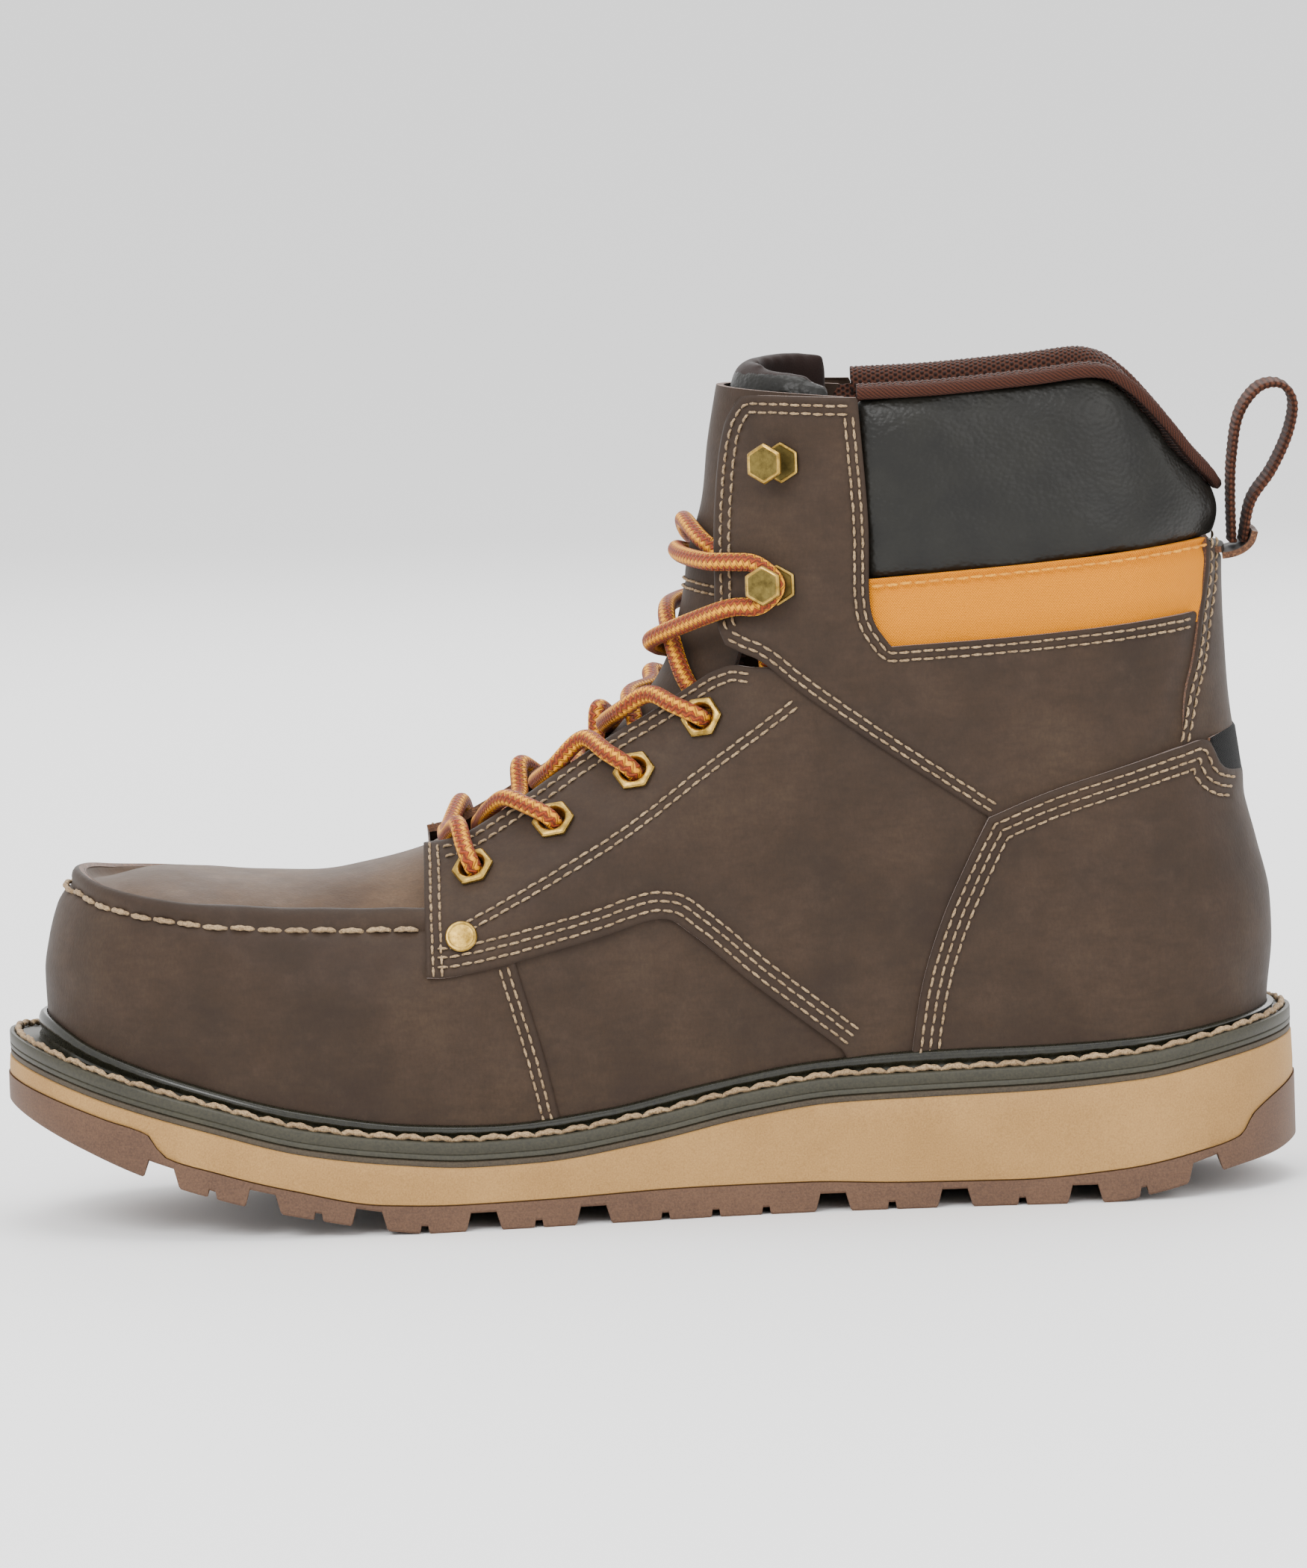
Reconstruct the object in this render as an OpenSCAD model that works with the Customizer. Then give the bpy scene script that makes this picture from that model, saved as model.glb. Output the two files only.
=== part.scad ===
// Steel toe work boot, right foot, in millimetres.
// +Z is up, the toe points along -X and the heel along +X. The inner side of the foot faces -Y.
// The origin is on the ground under the middle of the boot.
//
// The upper is one skin, a half width at each place along the boot and each height, and every
// leather piece is a patch of it. A place on the skin is given as [x, z], as seen from the side.

/* [Leather and padding] */
// Thickness of the outer leather
leather_t = 2; // [1.6:0.1:2.2]
// Thickness of the padded collar
collar_t = 9; // [6:0.5:10]
// Thickness of the side insert
insert_t = 1.6; // [1:0.1:2]
// Thickness of the lining
lining_t = 0.8; // [0.6:0.1:1]
// Thickness of the tongue's foam and lining together
tongue_foam_t = 4.5; // [3:0.5:5]
// Gap between two leather pieces
seam_gap = 0.3; // [0.2:0.05:0.5]

/* [Sole] */
// Thickness of the welt's plate
welt_t = 4.5; // [4:0.1:5]
// How far the sole stands out beside the upper
welt_out = 6; // [5.5:0.1:6.5]
// Width of the raised rand round the upper
rand_w = 2.6; // [2:0.1:3]
// Thickness of the strip between wedge and welt
strip_t = 1.5; // [1.2:0.1:1.8]
// Depth of the gaps between the lugs
lug_depth = 4.4; // [3.5:0.1:4.6]
// Width of the gaps between the lugs
lug_gap = 8.6; // [7:0.1:9.5]
// Depth of the small cuts in the lugs
sipe_depth = 1.8; // [1:0.1:2.2]
// Width of the small cuts in the lugs
sipe_w = 2.6; // [2:0.1:3]
// Thickness of the footbed
footbed_t = 5.5; // [4:0.5:6]
// Diameter of the welt's thread
welt_thread_d = 1.6; // [1.2:0.1:1.8]

/* [Toe and heel structure] */
// Thickness of the steel toe cap
cap_t = 1.6; // [1.4:0.1:1.8]
// Length of the steel toe cap
cap_len = 50; // [45:1:52]
// Thickness of the heel stiffener
stiffener_t = 1.4; // [1:0.1:1.5]

/* [Hardware] */
// Size of the hexagonal eyelets across their corners
eyelet_d = 10.6; // [9.5:0.1:11]
// Diameter of the eyelets' holes
eyelet_hole_d = 5.6; // [5.4:0.1:6]
// Size of the hooks' hexagonal plates across their corners
hook_d = 9.8; // [9:0.1:10.5]
// Diameter of the stud at the lower corner of each facing
stud_d = 7.6; // [6:0.1:8]
// Diameter of the lace
lace_d = 4.4; // [4:0.1:4.6]

/* [Pull loop] */
// Width of the webbing
loop_w = 18; // [14:1:20]
// Thickness of the webbing
loop_t = 2; // [1.6:0.1:2.2]

/* [Hidden] */

// Colours
leather = [0.30, 0.23, 0.18];
vinyl = [0.22, 0.23, 0.22];
mesh = [0.30, 0.18, 0.14];
rubber = [0.38, 0.27, 0.21];
foam = [0.72, 0.61, 0.42];
olive = [0.20, 0.19, 0.14];
thread = [0.66, 0.56, 0.42];
yellow = [0.93, 0.66, 0.12];
brass = [0.55, 0.46, 0.25];
tan = [0.45, 0.38, 0.30];
steel = [0.70, 0.71, 0.73];

// Sides
medial = -1;
lateral = 1;

// ---- Lines along the boot, as [x, value] ----
ground_line = [[-158, 30], [-150, 26], [-140, 21.5], [-124, 15], [-100, 8], [-80, 3.6], [-66, 1],
    [-56, 0], [104, 0], [118, 2.2], [134, 6.2], [146, 8.2], [152, 10]];
// Top of the rubber, where it meets the wedge. It steps up at both ends.
rubber_line = [[-158, 36.2], [-133, 28.2], [-123, 25], [-119.5, 20], [-107, 16], [-89, 11.4],
    [-68, 7.1], [-48, 6.3], [-28, 6.5], [5, 7.3], [33, 7.2], [55, 6.3], [82, 6], [106, 7.5],
    [128, 11.2], [137, 13.6], [140.5, 18.4], [152, 25]];
wedge_line = [[-158, 40.8], [-133, 32.5], [-107, 25.3], [-85, 19.6], [-65, 16.7], [-45, 15.2],
    [-30, 15.5], [-5, 18.7], [20, 23.5], [40, 26], [60, 26.6], [85, 27.2], [113, 29.2],
    [135, 32.8], [152, 35.4]];
// Top of the rand, where the leather comes out of the sole
feather_line = [[-158, 53], [-148, 50.5], [-136, 44.5], [-110, 36], [-85, 29.5], [-60, 25.5],
    [-40, 24.5], [-15, 26.7], [10, 31.5], [35, 35.5], [60, 37.2], [90, 37.7], [115, 38.9],
    [146, 42.5], [152, 43.2]];
// Top of the moc ridge, and the top of the toe along the middle
ridge_line = [[-142, 86], [-132, 82.5], [-117, 80], [-102, 78.3], [-83, 76.5], [-68, 75.9],
    [-55, 75.8]];
crown_line = [[-142, 85], [-128, 85], [-111, 83.2], [-96, 81.8], [-83, 81.4], [-69, 83.2],
    [-56, 86.4]];
// Half widths of the upper at the sole, and of the ankle
foot_w_medial = [[-148, 45], [-110, 46], [-85, 48], [-60, 48.5], [-40, 46.5], [-10, 41.5],
    [20, 37], [45, 35.5], [70, 35.5], [100, 36.5], [146, 36]];
foot_w_lateral = [[-148, 45], [-110, 47], [-85, 50], [-60, 52], [-40, 52], [-10, 48.5],
    [20, 43.5], [45, 40], [70, 38], [100, 37.5], [146, 36.5]];
ankle_w_medial = [[-148, 45], [-60, 46], [-20, 40], [10, 36], [50, 37], [100, 35], [146, 33]];
ankle_w_lateral = [[-148, 45], [-60, 49], [-20, 43], [10, 38], [50, 38], [100, 36], [146, 34]];
middle_y = [[-158, -5], [-100, -3], [-40, 0], [152, 0]];

// ---- Lines up the boot, as [z, x] ----
toe_x = [[20, -148], [60, -148], [68, -147], [76, -144.5], [82, -140.6], [86, -138.4], [90, -137]];
heel_x = [[20, 145.2], [42, 145.3], [58, 146.8], [68, 146.6], [81, 144], [94, 141], [105, 139.4],
    [127, 137.6], [138, 137.2], [165, 138], [200, 138]];
toe_round = 57;
heel_round = 35;

// Front of the skin seen from the side, over the toe, the instep and the shin, and how far below
// it the skin has turned to the full width
instep = [[-144, 94], [-120, 91], [-100, 89], [-80, 88], [-66, 88.5], [-55, 92], [-41, 100.5],
    [-20, 112.5], [-8, 121], [1.5, 132], [5, 146], [9, 162], [12, 180], [14, 200]];
instep_round = [[-144, 9], [-115, 13], [-100, 24], [-80, 36], [-60, 38], [-40, 35], [0, 33], [20, 34]];

// ---- Curves ----
function unit(v) = v / max(norm(v), 1e-9);
function clamp(x, lo, hi) = min(max(x, lo), hi);
function smooth(x) = let (t = clamp(x, 0, 1)) t * t * (3 - 2 * t);
function mix(a, b, t) = a + (b - a) * t;
function slice(v, from, to) = [for (i = [from:to]) v[i]];
function reversed(v) = [for (i = [len(v) - 1:-1:0]) v[i]];
function both(a, b) = concat(a, slice(b, 1, len(b) - 1));

// A smooth curve through [x, y] knots that never swings past them
function slope(k, i) = (k[i + 1][1] - k[i][1]) / (k[i + 1][0] - k[i][0]);
function tangent(k, i) =
    i == 0 ? slope(k, 0) : i == len(k) - 1 ? slope(k, i - 1) :
    let (a = slope(k, i - 1), b = slope(k, i)) a * b <= 0 ? 0 : 2 * a * b / (a + b);
function segment(k, x, i = 0) = i >= len(k) - 2 || x < k[i + 1][0] ? i : segment(k, x, i + 1);
function curve(k, x) =
    x <= k[0][0] ? k[0][1] : x >= k[len(k) - 1][0] ? k[len(k) - 1][1] :
    let (i = segment(k, x), h = k[i + 1][0] - k[i][0], t = (x - k[i][0]) / h,
        m0 = tangent(k, i) * h, m1 = tangent(k, i + 1) * h)
    (2 * t * t * t - 3 * t * t + 1) * k[i][1] + (t * t * t - 2 * t * t + t) * m0
        + (3 * t * t - 2 * t * t * t) * k[i + 1][1] + (t * t * t - t * t) * m1;

// A smooth line of n steps through points in the plane or in space
function spline_at(p, s) =
    let (i = min(floor(s), len(p) - 2), t = s - i, a = p[i], b = p[i + 1],
        before = i == 0 ? 2 * a - b : p[i - 1], after = i == len(p) - 2 ? 2 * b - a : p[i + 2])
    0.5 * (2 * a + (b - before) * t + (2 * before - 5 * a + 4 * b - after) * t * t
        + (3 * a - before - 3 * b + after) * t * t * t);
function run(p, n) = [for (i = [0:n]) spline_at(p, i / n * (len(p) - 1))];
function straight(a, b, n) = [for (i = [0:n]) mix(a, b, i / n)];

// ---- The skin ----
function foot_w(side, x) = curve(side == medial ? foot_w_medial : foot_w_lateral, x);
function ankle_w(side, x) = curve(side == medial ? ankle_w_medial : ankle_w_lateral, x);
function to_segment(p, a, b) =
    let (t = clamp((p - a) * (b - a) / ((b - a) * (b - a)), 0, 1)) norm(p - mix(a, b, t));
function below_instep(p) =
    min([for (i = [0:len(instep) - 2]) to_segment(p, instep[i], instep[i + 1])]);
function instep_turn(x, z) =
    let (d = below_instep([x, z]) / curve(instep_round, x)) d >= 1 ? 1 : sqrt(1 - (1 - d) * (1 - d));

// The skin is unrolled past its ends, so that a patch can go round the toe or the heel: a place
// along the boot is its x in the middle, and the way along the round beyond it at the ends.
function toe_join(z) = curve(toe_x, z) + toe_round;
function heel_join(z) = curve(heel_x, z) - heel_round;
function toe_tip(z) = toe_join(z) - toe_round * PI / 2;
function heel_tip(z) = heel_join(z) + heel_round * PI / 2;
function unrolled(x, z) =
    let (f = toe_join(z), b = heel_join(z))
    x < f ? f - toe_round * asin(clamp((f - x) / toe_round, 0, 1)) * PI / 180 :
    x > b ? b + heel_round * asin(clamp((x - b) / heel_round, 0, 1)) * PI / 180 : x;
function on_skin(side, a, z) =
    let (f = toe_join(z), b = heel_join(z),
        turn = a < f ? (f - a) / toe_round * 180 / PI : a > b ? (a - b) / heel_round * 180 / PI : 0,
        x = a < f ? f - toe_round * sin(turn) : a > b ? b + heel_round * sin(turn) : a,
        w = mix(foot_w(side, x), ankle_w(side, x), smooth((z - 55) / 60)))
    [x, curve(middle_y, x) + side * w * cos(turn) * instep_turn(x, z), z];
// The same with a signed way round the end, negative on the inner side of the foot
function round_end(end, q, z) =
    on_skin(q < 0 ? medial : lateral, end == "toe" ? toe_tip(z) + abs(q) : heel_tip(z) - abs(q), z);
function place(map, p) = map[0] == "side" ? on_skin(map[1], p[0], p[1]) : round_end(map[0], p[0], p[1]);
function outward(map, p) =
    let (e = 0.8, s = place(map, p),
        n = cross(place(map, p + [e, 0]) - place(map, p - [e, 0]),
            place(map, p + [0, e]) - place(map, p - [0, e])),
        from = s - [clamp(s[0], -90, 100), 0, s[2]])
    unit(n) * (n * from < 0 ? -1 : 1);
function raised(map, p, t) = place(map, p) + outward(map, p) * t;
// Turns [x, z] points into places of a map
function to_side(p) = [for (q = p) [unrolled(q[0], q[1]), q[1]]];
function to_toe(p, side) = [for (q = p) [side * (unrolled(q[0], q[1]) - toe_tip(q[1])), q[1]]];
function to_heel(p, side) = [for (q = p) [side * (heel_tip(q[1]) - unrolled(q[0], q[1])), q[1]]];

// ---- Solids made of rings and grids of points ----
// A grid between four edges: bottom and top run the same way, left and right run upward
function coons(bottom, top, left, right) =
    let (n = len(bottom) - 1, m = len(left) - 1)
    [for (j = [0:m]) [for (i = [0:n]) let (u = i / n, v = j / m)
        mix(bottom[i], top[i], v) + mix(left[j], right[j], u)
            - mix(mix(bottom[0], bottom[n], u), mix(top[0], top[n], u), v)]];
// Draws the edges of a grid in by the seam gap
function drawn_in(g, d) =
    let (m = len(g) - 1, n = len(g[0]) - 1)
    [for (j = [0:m]) [for (i = [0:n])
        g[j][i] + (i == 0 ? unit(g[j][1] - g[j][0]) * d : [0, 0])
            + (i == n ? unit(g[j][n - 1] - g[j][n]) * d : [0, 0])
            + (j == 0 ? unit(g[1][i] - g[0][i]) * d : [0, 0])
            + (j == m ? unit(g[m - 1][i] - g[m][i]) * d : [0, 0])]];
function flat(v) = [for (a = v) for (b = a) b];
// A closed slab between two grids of the same size
module slab(upper, lower, flip) {
    m = len(upper) - 1;
    n = len(upper[0]) - 1;
    k = (m + 1) * (n + 1);
    faces = concat(
        [for (j = [0:m - 1], i = [0:n - 1]) let (a = j * (n + 1) + i) each
            [[a, a + 1, a + n + 2], [a, a + n + 2, a + n + 1],
            [k + a, k + a + n + 2, k + a + 1], [k + a, k + a + n + 1, k + a + n + 2]]],
        [for (i = [0:n - 1]) let (a = i, b = m * (n + 1) + i) each
            [[a, k + a, k + a + 1], [a, k + a + 1, a + 1],
            [b, b + 1, k + b + 1], [b, k + b + 1, k + b]]],
        [for (j = [0:m - 1]) let (a = j * (n + 1), b = a + n, r = n + 1) each
            [[a, a + r, k + a + r], [a, k + a + r, k + a],
            [b, k + b + r, b + r], [b, k + b, k + b + r]]]);
    polyhedron(concat(flat(upper), flat(lower)), flip ? [for (f = faces) reversed(f)] : faces);
}
// A leather piece: the slab of skin between its edges, from depth to depth below the surface
module patch(map, grid, top, bottom) {
    slab([for (r = grid) [for (p = r) raised(map, p, top)]],
        [for (r = grid) [for (p = r) raised(map, p, bottom)]], map[0] == "side" && map[1] == lateral);
}
module panel(map, bottom, top, left, right, out = 0, depth = leather_t) {
    patch(map, drawn_in(coons(bottom, top, left, right), seam_gap / 2), out, out - depth);
}
// A tube along a line of points, closed into a ring or with flat ends
function across(t) = unit(cross(t, abs(t[2]) > 0.9 ? [1, 0, 0] : [0, 0, 1]));
module tube(p, d, sides, ring = false) {
    n = len(p);
    dirs = [for (i = [0:n - 1]) unit(ring ? p[(i + 1) % n] - p[(i + n - 1) % n]
        : p[min(i + 1, n - 1)] - p[max(i - 1, 0)])];
    starts = [for (i = 0, u = across(dirs[0]); i < n; i = i + 1,
        u = i < n ? unit(u - dirs[i] * (u * dirs[i])) : u) u];
    pts = [for (i = [0:n - 1]) let (w = cross(dirs[i], starts[i])) for (s = [0:sides - 1])
        p[i] + (starts[i] * cos(360 * s / sides) + w * sin(360 * s / sides)) * d / 2];
    faces = [for (i = [0:n - (ring ? 1 : 2)], s = [0:sides - 1])
        let (a = i * sides, b = (i + 1) % n * sides, t = (s + 1) % sides)
        each [[a + s, b + s, b + t], [a + s, b + t, a + t]]];
    ends = ring ? [] : [[for (s = [0:sides - 1]) s],
        [for (s = [sides - 1:-1:0]) (n - 1) * sides + s]];
    polyhedron(pts, concat(faces, ends));
}

// ---- The sole: an outline seen from above, cut by a band seen from the side ----
function end_turn(x, front, back, toe_r, heel_r) =
    x < front + toe_r ? cos(asin(clamp((front + toe_r - x) / toe_r, 0, 1))) :
    x > back - heel_r ? cos(asin(clamp((x - back + heel_r) / heel_r, 0, 1))) : 1;
function stations(front, back, toe_r, heel_r) = concat(
    [for (i = [0:11]) front + toe_r * (1 - cos(90 * i / 12))],
    [for (i = [0:11]) mix(front + toe_r, back - heel_r, i / 12)],
    [for (i = [0:10]) back - heel_r + heel_r * sin(90 * i / 10)]);
function outline(out, front, back, toe_r, heel_r) =
    let (xs = stations(front, back, toe_r, heel_r), last = len(xs) - 1,
        y = function (side, x) curve(middle_y, x)
            + side * (foot_w(side, x) + out) * end_turn(x, front, back, toe_r, heel_r))
    concat([for (i = [0:last]) [xs[i], y(lateral, xs[i])]],
        [for (i = [last - 1:-1:1]) [xs[i], y(medial, xs[i])]]);
sole_front = -158;
sole_back = 152;
upper_front = -148;
upper_back = 145.3;
// Outline of the sole, and of the upper where it meets the sole, drawn in by a distance
function sole_outline(inset) =
    outline(welt_out - inset, sole_front + inset, sole_back - inset, 66 - inset, 41 - inset);
function upper_outline(inset) =
    outline(-inset, upper_front + inset, upper_back - inset, toe_round - inset, heel_round - inset);
band_x = [for (i = [0:62]) sole_front - 1 + i * 5];
function line_points(k, up = 0) = [for (x = band_x) [x, curve(k, x) + up]];
module band(low, high) {
    rotate([90, 0, 0]) linear_extrude(130, center = true) polygon(concat(low, reversed(high)));
}
module layer(low, high) {
    intersection() {
        linear_extrude(70) children();
        band(low, high);
    }
}
welt_low = strip_t;
welt_high = strip_t + welt_t;
insole_t = 2.4;
function plate_z(x) = curve(wedge_line, x) + welt_high;

// Gaps that part the lugs, small cuts between them, and the step at the heel, as [x, width, depth]
gaps = [[-120, lug_gap, lug_depth], [-108, sipe_w, sipe_depth], [-96, lug_gap, lug_depth],
    [-83, sipe_w, sipe_depth], [-71, lug_gap, lug_depth], [-58, sipe_w, sipe_depth],
    [-44, lug_gap, lug_depth], [-31, sipe_w, sipe_depth], [-18, lug_gap, lug_depth],
    [-1, sipe_w, sipe_depth], [11, sipe_w, sipe_depth], [23, sipe_w, sipe_depth],
    [39, lug_gap, lug_depth], [53, sipe_w, sipe_depth], [68, lug_gap, lug_depth],
    [84, sipe_w, sipe_depth], [99, lug_gap, lug_depth], [113, sipe_w, lug_depth / 2],
    [128, lug_gap, lug_depth]];
function ground_z(x) = curve(ground_line, x);
lug_slant = 0.3;
function tread_points() = concat(
    [for (x = [-159, -154, -148, -140, -131]) [x, ground_z(x)]],
    [for (g = gaps) let (a = g[0] - g[1] / 2, b = g[0] + g[1] / 2, s = g[2] * lug_slant) each
        [[a, ground_z(a)], [a + s, ground_z(a) + g[2]], [b - s, ground_z(b) + g[2]],
        [b, ground_z(b)]]],
    [for (x = [140, 146, 150, 153]) [x, ground_z(x)]]);

module outsole() {
    groove_w = 4;
    groove_len = 150;
    color(rubber) difference() {
        intersection() {
            linear_extrude(70) polygon(sole_outline(0));
            band(tread_points(), line_points(rubber_line));
        }
        // Two long grooves part the lugs of the edge from those in the middle
        for (side = [medial, lateral]) {
            translate([-54, side * 22 - groove_w / 2, -1]) cube([groove_len, groove_w, lug_depth]);
        }
    }
}
module midsole() {
    color(foam) layer(line_points(rubber_line), line_points(wedge_line)) polygon(sole_outline(0.3));
}
module midsole_strip() {
    color([0.36, 0.31, 0.25])
        layer(line_points(wedge_line), line_points(wedge_line, strip_t)) polygon(sole_outline(0.6));
}
module welt() {
    color(olive) {
        layer(line_points(wedge_line, welt_low), line_points(wedge_line, welt_high)) difference() {
            polygon(sole_outline(0.6));
            polygon(upper_outline(9));
        }
        layer(line_points(wedge_line, welt_high), line_points(feather_line)) difference() {
            polygon(upper_outline(-rand_w));
            polygon(upper_outline(-0.6));
        }
    }
}
welt_seam_inset = 2.6;
module welt_stitching() {
    o = sole_outline(welt_seam_inset);
    color(thread)
        tube([for (p = o) [p[0], p[1], plate_z(p[0]) + welt_thread_d / 2 + 0.1]], welt_thread_d, 6, true);
}
module insole_board() {
    color([0.78, 0.70, 0.55])
        layer(line_points(wedge_line, welt_high), line_points(wedge_line, welt_high + insole_t))
            polygon(upper_outline(5.5));
}
shank_x = [-30, 82];
shank_w = 18;
module shank_plan(grow) {
    translate([shank_x[0] - grow, -shank_w / 2 - grow])
        square([shank_x[1] - shank_x[0] + 2 * grow, shank_w + 2 * grow]);
}
module shank() {
    color(steel) layer(line_points(wedge_line, strip_t + 1), line_points(wedge_line, strip_t + 2.6))
        shank_plan(0);
}
module filler() {
    color([0.55, 0.40, 0.26])
        layer(line_points(wedge_line, welt_low), line_points(wedge_line, welt_high)) difference() {
            polygon(upper_outline(9.3));
            shank_plan(0.3);
        }
}
module footbed() {
    color([0.16, 0.16, 0.17]) layer(line_points(wedge_line, welt_high + insole_t + 0.3),
        line_points(wedge_line, welt_high + insole_t + 0.3 + footbed_t)) polygon(upper_outline(7.4));
}

// ---- Toe cap: arches along the toe, from the front to an open back ----
cap_front = upper_front + 3;
cap_back = cap_front + cap_len;
function cap_arch(x, t) =
    let (turn = end_turn(x, cap_front + t, 200, toe_round - 6, 1),
        w = (curve(foot_w_medial, x) - 2.8 - t) * turn, low = plate_z(x) + insole_t + 0.4,
        h = (mix(34.4, 45, smooth((x - cap_front) / 50)) - t) * mix(0.62, 1, turn))
    [for (i = [0:14]) let (b = 180 * i / 14)
        [x, curve(middle_y, x) - w * (cos(b) < 0 ? -1 : 1) * pow(abs(cos(b)), 0.45),
            low + h * pow(sin(b), 0.62)]];
module toe_cap() {
    xs = [for (i = [1:12]) cap_front + cap_t + (cap_len - cap_t) * (1 - cos(90 * i / 12))];
    color(steel) slab([for (x = xs) cap_arch(x, 0)], [for (x = xs) cap_arch(x, cap_t)], false);
}
module toe_cap_edge() {
    xs = [for (i = [0:2]) cap_back + 0.2 + 3 * i];
    color([0.12, 0.12, 0.12]) slab([for (x = xs) cap_arch(x, 0)], [for (x = xs) cap_arch(x, cap_t)], false);
}

// ---- Edges of the leather pieces, as [x, z] ----
sunk = 3;
// Places along the boot that follow the round of the toe or the heel: share of the way, the share
// at which the round ends or begins, and the place at the straight end
function round_toe(s, turned, end) = let (join = upper_front + toe_round)
    s < turned ? join - toe_round * cos(90 * s / turned) : mix(join, end, (s - turned) / (1 - turned));
function round_heel(s, turning, start) = let (join = upper_back - heel_round)
    s < turning ? mix(start, join, s / turning) : join + heel_round * sin(90 * (s - turning) / (1 - turning));
function foot(x) = [x, max(plate_z(x) + 0.3, curve(feather_line, x) - sunk)];
function foot_edge(from, to, n) = [for (i = [0:n]) foot(mix(from, to, i / n))];
quarter_front = [[-55.5, 60], [-55.5, 75.8], [-55.5, 88.5]];
quarter_low = [[-55.5, 60], [-50, 60], [-38, 62], [-15, 67.3], [0, 71], [8, 66.5], [22, 54], [42.5, 37.5]];
facing = [[-55.5, 88.5], [-45, 92], [-29, 101.5], [-14, 111], [1, 120], [14, 128.6]];
facing_top = [[14, 128.6], [19, 130.4], [23.5, 130]];
vamp_back = [[-27.8, 22.2], [-32, 41], [-38, 62]];
shaft_low = [[23.5, 130], [32, 125], [50, 112], [69, 98], [79, 92.5]];
counter_front = [[58.5, 34], [62, 53], [67, 68], [73, 81], [79, 92.5]];
counter_top = [[79, 92.5], [95, 98.5], [114, 104], [124, 106.5]];
flap_low = [[18.4, 135.2], [22.5, 133.2], [27, 131], [36, 123.4], [54, 110], [79, 92.5]];
flap_front = [[18.4, 135.2], [15.9, 143], [16.2, 162], [17.4, 176], [19.5, 187], [22, 192]];
flap_top = [[22, 192], [26, 194.2], [51, 193.4]];
box_front = [[51, 193.4], [52.6, 165], [52.6, 143], [57, 134]];
insert_low = [[57, 134], [90, 135.4], [128.5, 138.4]];
insert_end = [[128.5, 138.4], [133, 155.8]];
stay_front = [[124, 106.5], [126, 117], [129, 128], [132, 145], [133, 155.8]];
collar_low = [[52.6, 150.2], [93, 152.6], [133, 155.8]];
top_line = [[51, 193.4], [70, 193.8], [92, 195.3], [108, 196.5], [116, 192.5], [124, 184], [131, 175],
    [136, 169.5]];

module vamp() {
    n = 20;
    ridge = [for (i = [0:n]) let (x = mix(-55.5, -141, pow(i / n, 0.8))) [x, curve(ridge_line, x)]];
    half_top = function (side) to_toe(concat(reversed(run([for (p = ridge) p], n)),
        slice(straight([-55.5, 75.8], [-55.5, 60], 3), 1, 3),
        slice(run(slice(quarter_low, 0, 2), 4), 1, 4)), side);
    half_low = function (side) to_toe([for (i = [0:n + 7]) foot(round_toe(i / (n + 7), 0.45, -27.8))], side);
    top = both(reversed(half_top(medial)), half_top(lateral));
    low = both(reversed(half_low(medial)), half_low(lateral));
    color(leather) panel(["toe"], low, top, to_toe(run(vamp_back, 6), medial),
        to_toe(run(vamp_back, 6), lateral));
}
module moc_apron() {
    front = -137.5;
    xs = [for (i = [1:18]) mix(front, -56.5, pow(i / 18, 1.6))];
    half = function (side, x) curve(middle_y, x) + side * (foot_w(side, x) - leather_t - 1.2)
        * end_turn(x, front, 200, toe_round - 3, 1) * instep_turn(x, curve(ridge_line, x));
    top = [for (x = xs) [for (j = [0:10]) let (v = j / 5 - 1, e = curve(ridge_line, x) - 1.2,
        c = max(curve(crown_line, x), e)) [x, mix(half(medial, x), half(lateral, x), j / 10),
            c - (c - e) * pow(abs(v), 2.4)]]];
    color(leather) slab(top, [for (r = top) [for (p = r) p - [0, 0, leather_t]]], true);
}
module moc_seam_thread() {
    seam = [for (i = [0:16]) let (x = mix(-57, -138, pow(i / 16, 0.7))) [x, curve(ridge_line, x) - 4.6]];
    line = function (side) [for (p = seam) raised(["side", side], [unrolled(p[0], p[1]), p[1]], 0.75)];
    color(thread) tube(concat(line(medial), reversed(line(lateral))), 1.2, 6);
}
module side_panel(side) {
    color(leather) panel(["side", side], to_side(foot_edge(-27.7, 41.5, 14)),
        to_side(run(slice(quarter_low, 2, 7), 14)), to_side(run(vamp_back, 6)),
        to_side(straight([41.5, 34.5], [42.5, 37.5], 6)));
}
module quarter(side) {
    low = both(run(quarter_low, 14), concat([[42.5, 37.5]], slice(foot_edge(41.5, 58.5, 4), 1, 4)));
    top = both(run(facing, 8), both(run(facing_top, 2), run(shaft_low, 8)));
    color(leather) difference() {
        panel(["side", side], to_side(low), to_side(top), to_side(straight([-55.5, 60], [-55.5, 88.5], 8)),
            to_side(run(counter_front, 8)));
        for (e = eyelet_places) on_leather(side, e) {
            translate([0, 0, -4]) cylinder(d = eyelet_hole_d + 1.2, h = 8, $fn = 24);
        }
    }
}
module shaft(side) {
    low = both(run(flap_low, 11), run(counter_top, 7));
    top = both(run(flap_top, 5), both(run(box_front, 6), both(run(insert_low, 5), run(insert_end, 2))));
    color(leather) panel(["side", side], to_side(low), to_side(top), to_side(run(flap_front, 12)),
        to_side(run(stay_front, 12)));
}
counter_back = [[124, 106.5], [131.5, 107.5], [135, 101], [139.9, 99]];
module heel_counter() {
    low = [for (i = [0:14]) foot(round_heel(i / 14, 6 / 14, 58.5))];
    top = both(run(counter_top, 7), run(counter_back, 7));
    color(leather) panel(["heel"], both(to_heel(low, medial), reversed(to_heel(low, lateral))),
        both(to_heel(top, medial), reversed(to_heel(top, lateral))),
        to_heel(run(counter_front, 8), medial), to_heel(run(counter_front, 8), lateral));
}
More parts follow.
